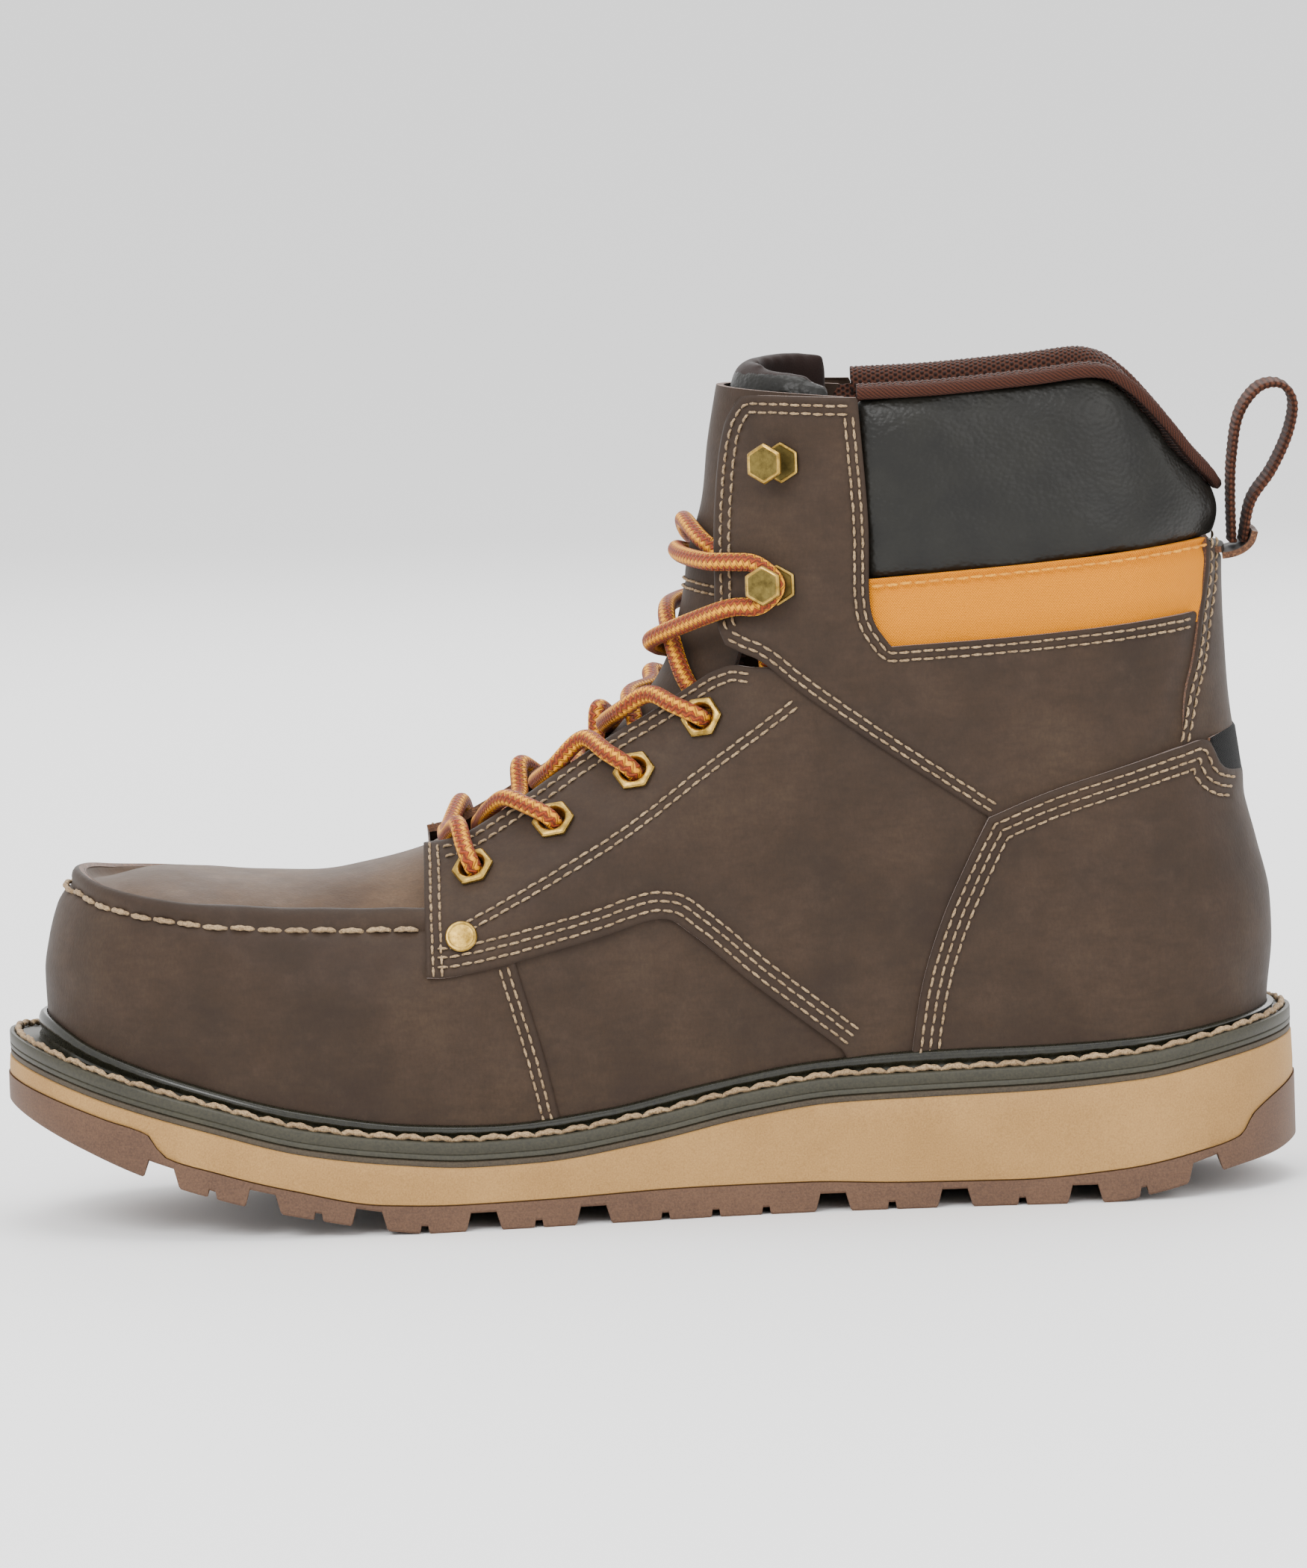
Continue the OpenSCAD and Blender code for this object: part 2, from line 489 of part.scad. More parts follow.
module heel_stiffener() {
    n = 13;
    low = [for (i = [0:n]) let (x = round_heel(i / n, 0.4, 85)) [x, plate_z(x) + 3]];
    top = [for (i = [0:n]) [round_heel(i / n, 0.4, 92) - 4.2 * i / n, 84 + 6 * i / n]];
    color([0.75, 0.72, 0.66]) patch(["heel"], coons(
        both(to_heel(low, medial), reversed(to_heel(low, lateral))),
        both(to_heel(top, medial), reversed(to_heel(top, lateral))),
        to_heel(straight(low[0], top[0], 4), medial),
        to_heel(straight(low[0], top[0], 4), lateral)), -leather_t - 0.3, -leather_t - 0.3 - stiffener_t);
}
module back_stay() {
    low = run([[124, 106.5], [131.5, 108], [139.4, 110]], 5);
    top = run([[133, 155.8], [136, 153], [137.5, 150.5]], 5);
    color(leather) panel(["heel"], both(to_heel(low, medial), reversed(to_heel(low, lateral))),
        both(to_heel(top, medial), reversed(to_heel(top, lateral))),
        to_heel(run(stay_front, 8), medial), to_heel(run(stay_front, 8), lateral));
}
module heel_tag() {
    low = run([[132.4, 106.6], [135.6, 101.6], [139.8, 99.6]], 3);
    top = run([[132.5, 107.6], [136, 108.7], [139.4, 109.4]], 3);
    color([0.08, 0.08, 0.08]) panel(["heel"], both(to_heel(low, medial), reversed(to_heel(low, lateral))),
        both(to_heel(top, medial), reversed(to_heel(top, lateral))),
        to_heel(straight(low[0], top[0], 2), medial), to_heel(straight(low[0], top[0], 2), lateral), -0.4, 1);
}
module insert(side) {
    color(yellow) panel(["side", side], to_side(both(run([[52.6, 143], [57, 134]], 2), run(insert_low, 8))),
        to_side(both(run([[52.6, 146], [52.6, 150.2]], 2), run(collar_low, 8))),
        to_side(straight([52.6, 143], [52.6, 146], 3)), to_side(run(insert_end, 3)),
        0, insert_t);
}
collar_back_low = [[133, 155.8], [136, 156.4], [138, 157]];
collar_back_top = [[136, 169.5], [137.2, 167.6], [138, 166.6]];
module collar(side) {
    low = both(run(collar_low, 8), run(collar_back_low, 3));
    top = both(run(top_line, 8), run(collar_back_top, 3));
    color(vinyl) panel(["side", side], to_side(low), to_side(top),
        to_side(straight([52.6, 150.2], [51, 193.4], 6)),
        to_side(straight([138, 157], [138, 166.6], 6)), 0.6, collar_t);
}
// Tape over the top of the collar, crowned in its middle
binding_t = 1.8;
module collar_binding() {
    line = both(run(top_line, 18), run(collar_back_top, 2));
    edge = function (side, depth, up) [for (p = line) raised(["side", side], [unrolled(p[0], p[1]), p[1]],
        -depth) + [0, 0, up]];
    row = function (depth, up) both(edge(medial, depth, up), reversed(edge(lateral, depth, up)));
    depths = [0.2, collar_t * 0.35, collar_t * 0.7, collar_t - 0.8];
    crown = [0.5, binding_t, binding_t, 0.5];
    color(mesh) slab([for (i = [0:3]) row(depths[i], 0.5 + crown[i])], [for (d = depths) row(d, 0.5)], true);
}
lining_top = [[36, 189], [54, 191], [92, 193], [108, 194], [116, 190], [124, 182], [131, 173], [138, 164]];
module lining() {
    n = 16;
    low = [for (i = [0:n]) let (x = round_heel(i / n, 0.44, 36)) [x, plate_z(x) + insole_t + 0.6]];
    top = run(lining_top, n);
    grid = coons(both(to_heel(low, medial), reversed(to_heel(low, lateral))),
        both(to_heel(top, medial), reversed(to_heel(top, lateral))),
        to_heel(straight(low[0], top[0], 12), medial), to_heel(straight(low[0], top[0], 12), lateral));
    depth = function (p) mix(-leather_t - stiffener_t - 1.3, 0.1 - collar_t, smooth((p[1] - 128) / 20));
    color(mesh) slab([for (r = grid) [for (p = r) raised(["heel"], p, depth(p))]],
        [for (r = grid) [for (p = r) raised(["heel"], p, depth(p) - lining_t)]], false);
}
// A hood under the toe cap, and a wing on each side behind it
module vamp_lining() {
    hood_depth = cap_t + 0.4;
    hood_end = cap_back + 9.4;
    wing_end = 34;
    hood_front = cap_front + hood_depth + lining_t;
    xs = [for (i = [1:14]) mix(hood_front, hood_end, 1 - cos(90 * i / 14))];
    color(tan) slab([for (x = xs) cap_arch(x, hood_depth)], [for (x = xs) cap_arch(x, hood_depth + lining_t)],
        false);
    low = [for (i = [0:14]) let (x = mix(hood_end + 0.6, wing_end, i / 14)) [x, plate_z(x) + insole_t + 0.6]];
    top = [[hood_end + 0.6, 64], [-70, 67], [-60, 72], [-45, 82], [-29, 88], [0, 97], [wing_end, 101]];
    for (side = [medial, lateral]) color(tan) patch(["side", side], coons(to_side(low), to_side(run(top, 14)),
        to_side(straight(low[0], top[0], 5)), to_side(straight(low[14], top[6], 5))),
        -leather_t - 2 - lining_t, -leather_t - 2);
}

// ---- Tongue: arches square to its middle line ----
tongue_line = [[-54, 84.5], [-46, 87], [-37, 91.5], [-27, 98.4], [-16, 106.5], [-6, 115.8], [3.5, 128.5],
    [7.5, 141], [10, 154], [13.5, 167], [15.8, 182], [18, 194], [20, 201]];
// Half width, depth of the arch and how far round it goes, at each step up the tongue
tongue_w = [[0, 22], [3, 29], [5, 27.6], [9, 26.5], [12, 25]];
tongue_r = [[0, 11], [3, 24], [6, 35], [9, 37], [12, 38]];
tongue_turn = [[0, 55], [3, 52], [7, 56], [10, 70], [12, 84]];
function tongue_point(s, turn, t) =
    let (c = spline_at(tongue_line, s), d = unit(spline_at(tongue_line, min(s + 0.1, 12))
            - spline_at(tongue_line, max(s - 0.1, 0))),
        inward = unit([d[1], -d[0] * (1 - 0.85 * smooth((s - 9.6) / 2.2))]),
        w = curve(tongue_w, s), r = curve(tongue_r, s), k = norm([cos(turn) * w, sin(turn) * r]),
        p = c + inward * (r * (1 - cos(turn)) - t * cos(turn) * w / k))
    [p[0], w * sin(turn) + t * sin(turn) * r / k, p[1]];
function tongue_grid(from, to, n, share, t) = [for (i = [0:n]) let (s = mix(from, to, i / n))
    [for (j = [-6:6]) tongue_point(s, curve(tongue_turn, s) * share * j / 6, t)]];
tongue_leather_t = 1.6;
pad_from = 10.6;
module tongue_leather() {
    color(leather) slab(tongue_grid(0, pad_from - 0.1, 20, 1, 0),
        tongue_grid(0, pad_from - 0.1, 20, 1, -tongue_leather_t), true);
}
module tongue_lining() {
    color(mesh) slab(tongue_grid(1, pad_from - 0.1, 16, 0.96, -tongue_leather_t - 0.1),
        tongue_grid(1, pad_from - 0.1, 16, 0.96, -tongue_leather_t - tongue_foam_t), true);
}
module tongue_pad() {
    color(vinyl) slab(tongue_grid(pad_from, 12, 4, 1, 0.8), tongue_grid(pad_from, 12, 4, 1, -7), true);
}
// Bellows beside the tongue, against the inside of the quarter and the ankle
gusset_front = [[-12, 88], [12, 108], [24, 119.5], [26, 136], [26.5, 150]];
gusset_back = [[0, 84], [22, 103], [38, 118], [42, 134], [43, 148]];
module gusset(side) {
    color([0.10, 0.09, 0.09]) patch(["side", side], coons(
        to_side(straight(gusset_front[0], gusset_back[0], 4)),
        to_side(straight(gusset_front[4], gusset_back[4], 4)), to_side(run(gusset_front, 8)),
        to_side(run(gusset_back, 8))), -leather_t - 0.6, -leather_t - 1.1);
}

// ---- Hardware ----
eyelet_places = [[-43.6, 84.2], [-24.2, 94.6], [-4.6, 105.6], [12, 118]];
hook_places = [[31, 149.4], [33, 178.4]];
stud_place = [-47, 69];
// Stands children on the leather with +Z outward and +X along the boot
module on_leather(side, p, lift = 0) {
    q = [unrolled(p[0], p[1]), p[1]];
    s = place(["side", side], q);
    n = outward(["side", side], q);
    along = unit([1, 0, 0] - n * n[0]);
    up = cross(n, along);
    o = s + n * lift;
    multmatrix([[along[0], up[0], n[0], o[0]], [along[1], up[1], n[1], o[1]], [along[2], up[2], n[2], o[2]]])
        children();
}
module eyelets(side) {
    color(brass) for (e = eyelet_places) on_leather(side, e, 0.35) difference() {
        union() {
            cylinder(d = eyelet_d, h = 1.1, $fn = 6);
            translate([0, 0, -3]) cylinder(d = eyelet_hole_d + 0.8, h = 3.2, $fn = 24);
        }
        translate([0, 0, -4]) cylinder(d = eyelet_hole_d, h = 8, $fn = 24);
    }
}
module eyelet_washers() {
    color(steel) for (side = [medial, lateral]) for (e = eyelet_places)
        on_leather(side, e, -leather_t - 1) difference() {
            cylinder(d = 9.4, h = 0.6, $fn = 32);
            translate([0, 0, -1]) cylinder(d = eyelet_hole_d + 1, h = 3, $fn = 24);
        }
}
module hooks(side) {
    neck_h = lace_d + 0.4;
    plate_t = 1;
    neck_d = 2.6;
    neck_at = 3.6;
    lean = 1.7;
    color(brass) for (h = hook_places) on_leather(side, h, 0.15) {
        rotate(30) cylinder(d = hook_d, h = plate_t, $fn = 6);
        translate([-neck_at, 0, 0]) cylinder(d = neck_d, h = plate_t + neck_h, $fn = 24);
        translate([-lean, 0, plate_t + neck_h - 0.1])
            rotate(30) cylinder(d = hook_d, h = plate_t + 0.4, $fn = 6);
    }
}
module rivet_studs() {
    color(brass) for (side = [medial, lateral]) on_leather(side, stud_place, 0.15) {
        cylinder(d = stud_d, h = 0.9, $fn = 40);
        translate([0, 0, 0.8]) cylinder(d = stud_d - 1.6, h = 0.5, $fn = 40);
    }
}

// ---- Lace ----
// Heights of its middle over the leather and over the tongue, and its depth behind a flap
lace_lift = lace_d / 2 + 0.4;
tongue_lift = lace_lift + 0.55;
tuck_depth = -leather_t - lace_d / 2 - 0.5;
function over_leather(side, p, lift) = raised(["side", side], [unrolled(p[0], p[1]), p[1]], lift);
function over_tongue(s, turn, lift = tongue_lift) = tongue_point(s, turn, lift);
// Over the edge of a facing at a peak and in through eyelet k
function into_eyelet(side, k, peak, up) = let (e = eyelet_places[k]) [
    over_leather(side, peak, lace_lift + 0.5),
    over_leather(side, mix(peak, e, 0.5), lace_lift + up),
    over_leather(side, mix(peak, e, 0.92), 2.1),
    over_leather(side, e, -2.2),
    over_leather(side, e + [-0.2, 1.8], -5.1)];
// Strands from below one facing to the top of the other: where each passes four places across the
// tongue, in steps up it, its peak beside the next eyelet, and its extra height before that
to_medial = [[[1.3, 1.45, 1.65, 2], [-34.5, 97.6], 5], [[3, 3, 3.05, 3.5], [-15.2, 110.8], 5],
    [[4.75, 4.75, 4.65, 5.1], [1.2, 121.8], 5]];
to_lateral = [[[1.75, 2.15, 2.35, 2.5], [-31.5, 100.3], 0.8], [[3.3, 3.85, 3.95, 4.2], [-11.5, 114], 0.8],
    [[4.85, 5.15, 5.3, 5.55], [2, 122.8], 0.8]];
function strand(side, k) = let (way = (side == lateral ? to_medial : to_lateral)[k], s = way[0]) concat([
    over_tongue(s[0], side * 41, lace_lift + 0.2),
    over_tongue(s[1], side * 24),
    over_tongue(s[2], 0),
    over_tongue(s[3], -side * 27, tongue_lift + way[2])], into_eyelet(-side, k + 1, way[1], 0.9));
// From the middle of the lowest bar, through eyelets on alternate sides
function laced(side) = concat([over_tongue(0.55, 0, lace_lift + 1.6),
    over_tongue(0.62, side * 22, lace_lift + 2.4)],
    into_eyelet(side, 0, [-46, 91.6], 0.6), strand(side, 0), strand(-side, 1), strand(side, 2));
// From below round the neck of the lower hook and away above it
hook_lift = lace_d / 2 + 1.4;
function round_hook(side) = let (h = hook_places[0]) [
    over_leather(side, [17.5, 142.6], lace_lift + 0.5),
    over_leather(side, h + [-8, -5.2], hook_lift),
    over_leather(side, h + [-3.4, -4.9], hook_lift),
    over_leather(side, h + [0.7, 0], hook_lift),
    over_leather(side, h + [-3.4, 4.8], hook_lift),
    over_leather(side, h + [-8.5, 5.2], hook_lift),
    over_leather(side, h + [-14, 5], lace_lift + 1)];
// Each end crosses the tongue to its hook, and back to be tucked behind the other flap
medial_end = concat([over_tongue(6.15, 38, lace_lift + 0.2), over_tongue(6.2, 22),
    over_tongue(6.25, 0, tongue_lift + 0.4),
    over_tongue(6.5, -20, tongue_lift + 4.7)], round_hook(medial), [over_tongue(8.1, -26, tongue_lift + 3.2),
    over_tongue(8.1, 0), over_tongue(8, 28), over_tongue(7.9, 46, 2.7),
    over_leather(lateral, [23.5, 149], tuck_depth - 0.3), over_leather(lateral, [25.5, 139], tuck_depth),
    over_leather(lateral, [27, 128], tuck_depth)]);
lateral_end = concat([over_tongue(6, -38, lace_lift + 0.2), over_tongue(6.45, -22), over_tongue(6.95, 0),
    over_tongue(7.1, 26, tongue_lift + 2.5)], round_hook(lateral), [over_tongue(8.35, 26, tongue_lift + 2.5),
    over_tongue(8.65, 0), over_tongue(8.45, -28), over_tongue(8.2, -46, 2.5),
    over_leather(medial, [22, 151], tuck_depth - 0.5), over_leather(medial, [25, 140], tuck_depth),
    over_leather(medial, [26.5, 128], tuck_depth)]);
module lace() {
    one = concat(laced(medial), medial_end);
    two = concat(laced(lateral), lateral_end);
    steps = 2 * (len(one) - 1);
    color([0.86, 0.55, 0.14]) tube(both(reversed(run(one, steps)), run(two, steps)), lace_d, 8);
}
module lace_tips() {
    color([0.35, 0.20, 0.08]) {
        lace_tip(medial, [26.5, 128]);
        lace_tip(lateral, [27, 128]);
    }
}
module lace_tip(side, p) {
    top = over_leather(side, p, tuck_depth);
    translate([top[0], top[1], top[2] - 16.2]) cylinder(d = lace_d - 1, h = 16, $fn = 24);
}

// ---- Pull loop and its leather tab ----
loop_line = [[140.6, 156.4], [140.6, 165], [141.2, 174], [143.2, 184], [148, 190.2], [153.4, 190.8],
    [156.2, 186.6], [154.8, 179], [150.6, 170.4], [145.4, 163], [143.2, 156.4]];
function beside(p, d) = [for (i = [0:len(p) - 1]) let (t = unit(p[min(i + 1, len(p) - 1)] - p[max(i - 1, 0)]))
    p[i] + [t[1], -t[0]] * d];
module pull_loop() {
    line = run(loop_line, 30);
    color(mesh) rotate([90, 0, 0]) linear_extrude(loop_w, center = true)
        polygon(concat(beside(line, -loop_t / 2), reversed(beside(line, loop_t / 2))));
}
module loop_tab() {
    color(leather) rotate([90, 0, 0]) linear_extrude(loop_w + 6, center = true)
        polygon([[138, 150.4], [141.6, 150.6], [144.8, 153.4], [144.4, 154.5], [138.4, 154.5]]);
}

outsole();
midsole();
midsole_strip();
welt();
welt_stitching();
insole_board();
shank();
filler();
footbed();
toe_cap();
toe_cap_edge();
heel_stiffener();
vamp();
moc_apron();
moc_seam_thread();
side_panel(medial);  // side_panel_medial
side_panel(lateral);  // side_panel_lateral
quarter(medial);  // quarter_medial
quarter(lateral);  // quarter_lateral
shaft(medial);  // shaft_medial
shaft(lateral);  // shaft_lateral
heel_counter();
back_stay();
collar(medial);  // collar_medial
collar(lateral);  // collar_lateral
collar_binding();
insert(medial);  // insert_medial
insert(lateral);  // insert_lateral
vamp_lining();
lining();
tongue_leather();
tongue_pad();
tongue_lining();
gusset(medial);  // gusset_medial
gusset(lateral);  // gusset_lateral
eyelets(medial);  // eyelets_medial
eyelets(lateral);  // eyelets_lateral
eyelet_washers();
hooks(medial);  // hooks_medial
hooks(lateral);  // hooks_lateral
rivet_studs();
lace();
lace_tips();
pull_loop();
loop_tab();
heel_tag();
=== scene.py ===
import math

import bpy
import numpy as np
from mathutils import Matrix, Vector


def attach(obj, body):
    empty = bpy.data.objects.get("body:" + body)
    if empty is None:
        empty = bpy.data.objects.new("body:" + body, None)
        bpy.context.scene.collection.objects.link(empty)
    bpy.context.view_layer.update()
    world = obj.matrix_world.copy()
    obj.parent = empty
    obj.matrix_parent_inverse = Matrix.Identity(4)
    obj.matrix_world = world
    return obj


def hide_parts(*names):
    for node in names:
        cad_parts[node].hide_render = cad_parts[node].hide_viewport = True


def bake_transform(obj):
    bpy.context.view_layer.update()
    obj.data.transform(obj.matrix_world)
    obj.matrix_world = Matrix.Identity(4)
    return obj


# Looks of a steel toe work boot, right foot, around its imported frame. Shapes are worked out in
# millimetres on one skin, a half width at each place along the boot and each height, and turned
# into metres when a mesh is made. The inner side of the foot is medial and faces -Y.
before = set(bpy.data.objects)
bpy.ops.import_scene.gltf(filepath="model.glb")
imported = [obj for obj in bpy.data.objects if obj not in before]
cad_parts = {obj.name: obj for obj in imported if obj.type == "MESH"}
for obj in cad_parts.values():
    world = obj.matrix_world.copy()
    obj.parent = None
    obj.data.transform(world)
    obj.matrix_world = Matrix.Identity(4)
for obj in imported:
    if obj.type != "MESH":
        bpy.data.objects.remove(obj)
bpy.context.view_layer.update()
MM = 0.001
MEDIAL, LATERAL = -1, 1
SIDES = {"medial": MEDIAL, "lateral": LATERAL}

# ---- Lines along the boot, as [x, value] ----
ground_line = [[-158, 30], [-150, 26], [-140, 21.5], [-124, 15], [-100, 8], [-80, 3.6], [-66, 1],
    [-56, 0], [104, 0], [118, 2.2], [134, 6.2], [146, 8.2], [152, 10]]
rubber_line = [[-158, 36.2], [-133, 28.2], [-123, 25], [-119.5, 20], [-107, 16], [-89, 11.4],
    [-68, 7.1], [-48, 6.3], [-28, 6.5], [5, 7.3], [33, 7.2], [55, 6.3], [82, 6], [106, 7.5],
    [128, 11.2], [137, 13.6], [140.5, 18.4], [152, 25]]
wedge_line = [[-158, 40.8], [-133, 32.5], [-107, 25.3], [-85, 19.6], [-65, 16.7], [-45, 15.2],
    [-30, 15.5], [-5, 18.7], [20, 23.5], [40, 26], [60, 26.6], [85, 27.2], [113, 29.2],
    [135, 32.8], [152, 35.4]]
feather_line = [[-158, 53], [-148, 50.5], [-136, 44.5], [-110, 36], [-85, 29.5], [-60, 25.5],
    [-40, 24.5], [-15, 26.7], [10, 31.5], [35, 35.5], [60, 37.2], [90, 37.7], [115, 38.9],
    [146, 42.5], [152, 43.2]]
ridge_line = [[-142, 86], [-132, 82.5], [-117, 80], [-102, 78.3], [-83, 76.5], [-68, 75.9], [-55, 75.8]]
crown_line = [[-142, 85], [-128, 85], [-111, 83.2], [-96, 81.8], [-83, 81.4], [-69, 83.2], [-56, 86.4],
    [-48, 90.4]]
foot_w = {MEDIAL: [[-148, 45], [-110, 46], [-85, 48], [-60, 48.5], [-40, 46.5], [-10, 41.5],
    [20, 37], [45, 35.5], [70, 35.5], [100, 36.5], [146, 36]],
    LATERAL: [[-148, 45], [-110, 47], [-85, 50], [-60, 52], [-40, 52], [-10, 48.5],
    [20, 43.5], [45, 40], [70, 38], [100, 37.5], [146, 36.5]]}
ankle_w = {MEDIAL: [[-148, 45], [-60, 46], [-20, 40], [10, 36], [50, 37], [100, 35], [146, 33]],
    LATERAL: [[-148, 45], [-60, 49], [-20, 43], [10, 38], [50, 38], [100, 36], [146, 34]]}
middle_y = [[-158, -5], [-100, -3], [-40, 0], [152, 0]]

# ---- Lines up the boot, as [z, x] ----
toe_x = [[20, -148], [60, -148], [68, -147], [76, -144.5], [82, -140.6], [86, -138.4], [90, -137]]
heel_x = [[20, 145.2], [42, 145.3], [58, 146.8], [68, 146.6], [81, 144], [94, 141], [105, 139.4],
    [127, 137.6], [138, 137.2], [165, 138], [200, 138]]
TOE_ROUND, HEEL_ROUND = 57, 35
instep = [[-144, 94], [-120, 91], [-100, 89], [-80, 88], [-66, 88.5], [-55, 92], [-41, 100.5],
    [-20, 112.5], [-8, 121], [1.5, 132], [5, 146], [9, 162], [12, 180], [14, 200]]
instep_round = [[-144, 9], [-115, 13], [-100, 24], [-80, 36], [-60, 38], [-40, 35], [0, 33], [20, 34]]


# ---- Curves ----
def curve(knots, x):
    """A smooth curve through [x, y] knots that never swings past them."""
    k = np.asarray(knots, float)
    kx, ky = k[:, 0], k[:, 1]
    h = np.diff(kx)
    s = np.diff(ky) / h
    a, b = s[:-1], s[1:]
    inner = np.where(a * b > 0, 2 * a * b / np.where(a + b == 0, 1, a + b), 0)
    m = np.concatenate([s[:1], inner, s[-1:]])
    x = np.clip(np.asarray(x, float), kx[0], kx[-1])
    i = np.clip(np.searchsorted(kx, x, side="right") - 1, 0, len(kx) - 2)
    t = (x - kx[i]) / h[i]
    return ((2 * t**3 - 3 * t**2 + 1) * ky[i] + (t**3 - 2 * t**2 + t) * m[i] * h[i]
        + (3 * t**2 - 2 * t**3) * ky[i + 1] + (t**3 - t**2) * m[i + 1] * h[i])


def smooth(x):
    t = np.clip(x, 0, 1)
    return t * t * (3 - 2 * t)


def mix(a, b, t):
    return a + (b - a) * t


def unit(v):
    return v / np.maximum(np.linalg.norm(v, axis=-1, keepdims=True), 1e-9)


def bend(before, a, b, after, t):
    """A share t of the way along the smooth line from a to b, with a point before and one after."""
    return 0.5 * (2 * a + (b - before) * t + (2 * before - 5 * a + 4 * b - after) * t * t
        + (3 * a - before - 3 * b + after) * t**3)


def run(points, per_span=12):
    """A dense smooth line through points."""
    p = np.asarray(points, float)
    if len(p) == 2:
        return np.array([mix(p[0], p[1], t) for t in np.linspace(0, 1, per_span + 1)])
    ext = np.concatenate([[2 * p[0] - p[1]], p, [2 * p[-1] - p[-2]]])
    out = []
    for i in range(len(p) - 1):
        out += [bend(*ext[i:i + 4], t) for t in np.linspace(0, 1, per_span, endpoint=False)]
    return np.array(out + [p[-1]])


def straight(points):
    return np.asarray(points, float)


def join(*parts):
    out = [np.asarray(parts[0], float)]
    for p in parts[1:]:
        p = np.asarray(p, float)
        out.append(p[1:] if np.allclose(p[0], out[-1][-1]) else p)
    return np.concatenate(out)


def length(p):
    return float(np.linalg.norm(np.diff(p, axis=0), axis=1).sum())


def along(p, u):
    """Places at shares u of the length of a line."""
    p = np.asarray(p, float)
    d = np.concatenate([[0], np.cumsum(np.linalg.norm(np.diff(p, axis=0), axis=1))])
    return np.stack([np.interp(np.asarray(u) * d[-1], d, p[:, k]) for k in range(p.shape[1])], -1)


def distance(q, line):
    """Distance of each point q from a line drawn straight from point to point."""
    flat = q.reshape(-1, 2)
    best = np.full(len(flat), 1e9)
    for a, b in zip(line[:-1], line[1:]):
        d = b - a
        t = np.clip(((flat - a) @ d) / max(d @ d, 1e-9), 0, 1)
        best = np.minimum(best, np.linalg.norm(flat - a - t[:, None] * d, axis=1))
    return best.reshape(q.shape[:-1])


def away(q, line):
    """Distance of each point q from a line, taken at even places along it."""
    places = np.linspace(0, 1, max(2, int(length(line) / 2.5) + 1))
    return distance(np.asarray(q, float), along(line, places))


def beside(line, d):
    """The line drawn to its left by d, with what would cross itself left out."""
    line = np.asarray(line, float)
    p = along(line, np.linspace(0, 1, max(8, int(length(line) / 0.7))))
    t = unit(np.gradient(p, axis=0))
    q = p + np.stack([-t[:, 1], t[:, 0]], -1) * d
    return q[away(q, line) > abs(d) * 0.93]


# ---- The skin ----
def width(table, side, x):
    return np.where(np.asarray(side) < 0, curve(table[MEDIAL], x), curve(table[LATERAL], x))


def instep_turn(x, z):
    """The share of the full width that is left where the skin turns in to the instep."""
    q = np.stack(np.broadcast_arrays(np.asarray(x, float), np.asarray(z, float)), -1)
    d = np.clip(distance(q, np.array(instep, float)) / curve(instep_round, x), 0, 1)
    return np.sqrt(1 - (1 - d) ** 2)


def toe_join(z):
    return curve(toe_x, z) + TOE_ROUND


def heel_join(z):
    return curve(heel_x, z) - HEEL_ROUND


def toe_tip(z):
    return toe_join(z) - TOE_ROUND * math.pi / 2


def heel_tip(z):
    return heel_join(z) + HEEL_ROUND * math.pi / 2


def unrolled(x, z):
    f, b = toe_join(z), heel_join(z)
    return np.where(x < f, f - TOE_ROUND * np.arcsin(np.clip((f - x) / TOE_ROUND, 0, 1)),
        np.where(x > b, b + HEEL_ROUND * np.arcsin(np.clip((x - b) / HEEL_ROUND, 0, 1)), x))


def on_skin(side, a, z):
    f, b = toe_join(z), heel_join(z)
    turn = np.where(a < f, (f - a) / TOE_ROUND, np.where(a > b, (a - b) / HEEL_ROUND, 0))
    x = np.where(a < f, f - TOE_ROUND * np.sin(turn), np.where(a > b, b + HEEL_ROUND * np.sin(turn), a))
    w = mix(width(foot_w, side, x), width(ankle_w, side, x), smooth((z - 55) / 60))
    y = curve(middle_y, x) + side * w * np.cos(turn) * instep_turn(x, z)
    return np.stack(np.broadcast_arrays(x, y, z), -1)


def place(where, p):
    """A place on the skin. where is a side, or an end counted from its middle line."""
    q, z = p[..., 0], p[..., 1]
    if where == "toe":
        return on_skin(np.where(q < 0, MEDIAL, LATERAL), toe_tip(z) + np.abs(q), z)
    if where == "heel":
        return on_skin(np.where(q < 0, MEDIAL, LATERAL), heel_tip(z) - np.abs(q), z)
    return on_skin(where, q, z)


def outward(where, p):
    e = 0.8
    n = np.cross(place(where, p + [e, 0]) - place(where, p - [e, 0]),
        place(where, p + [0, e]) - place(where, p - [0, e]))
    s = place(where, p)
    centre = np.stack([np.clip(s[..., 0], -90, 100), 0 * s[..., 1], s[..., 2]], -1)
    n = unit(n)
    return n * np.where(np.sum(n * (s - centre), -1) < 0, -1, 1)[..., None]


def raised(where, p, t):
    p = np.asarray(p, float)
    return place(where, p) + outward(where, p) * np.broadcast_to(t, p.shape[:-1])[..., None]


def onto(where, p, side=MEDIAL):
    """Turns [x, z] as seen from the side into places of a map."""
    p = np.asarray(p, float)
    a = unrolled(p[:, 0], p[:, 1])
    if where == "toe":
        a = side * (a - toe_tip(p[:, 1]))
    elif where == "heel":
        a = side * (heel_tip(p[:, 1]) - a)
    return np.stack([a, p[:, 1]], -1)


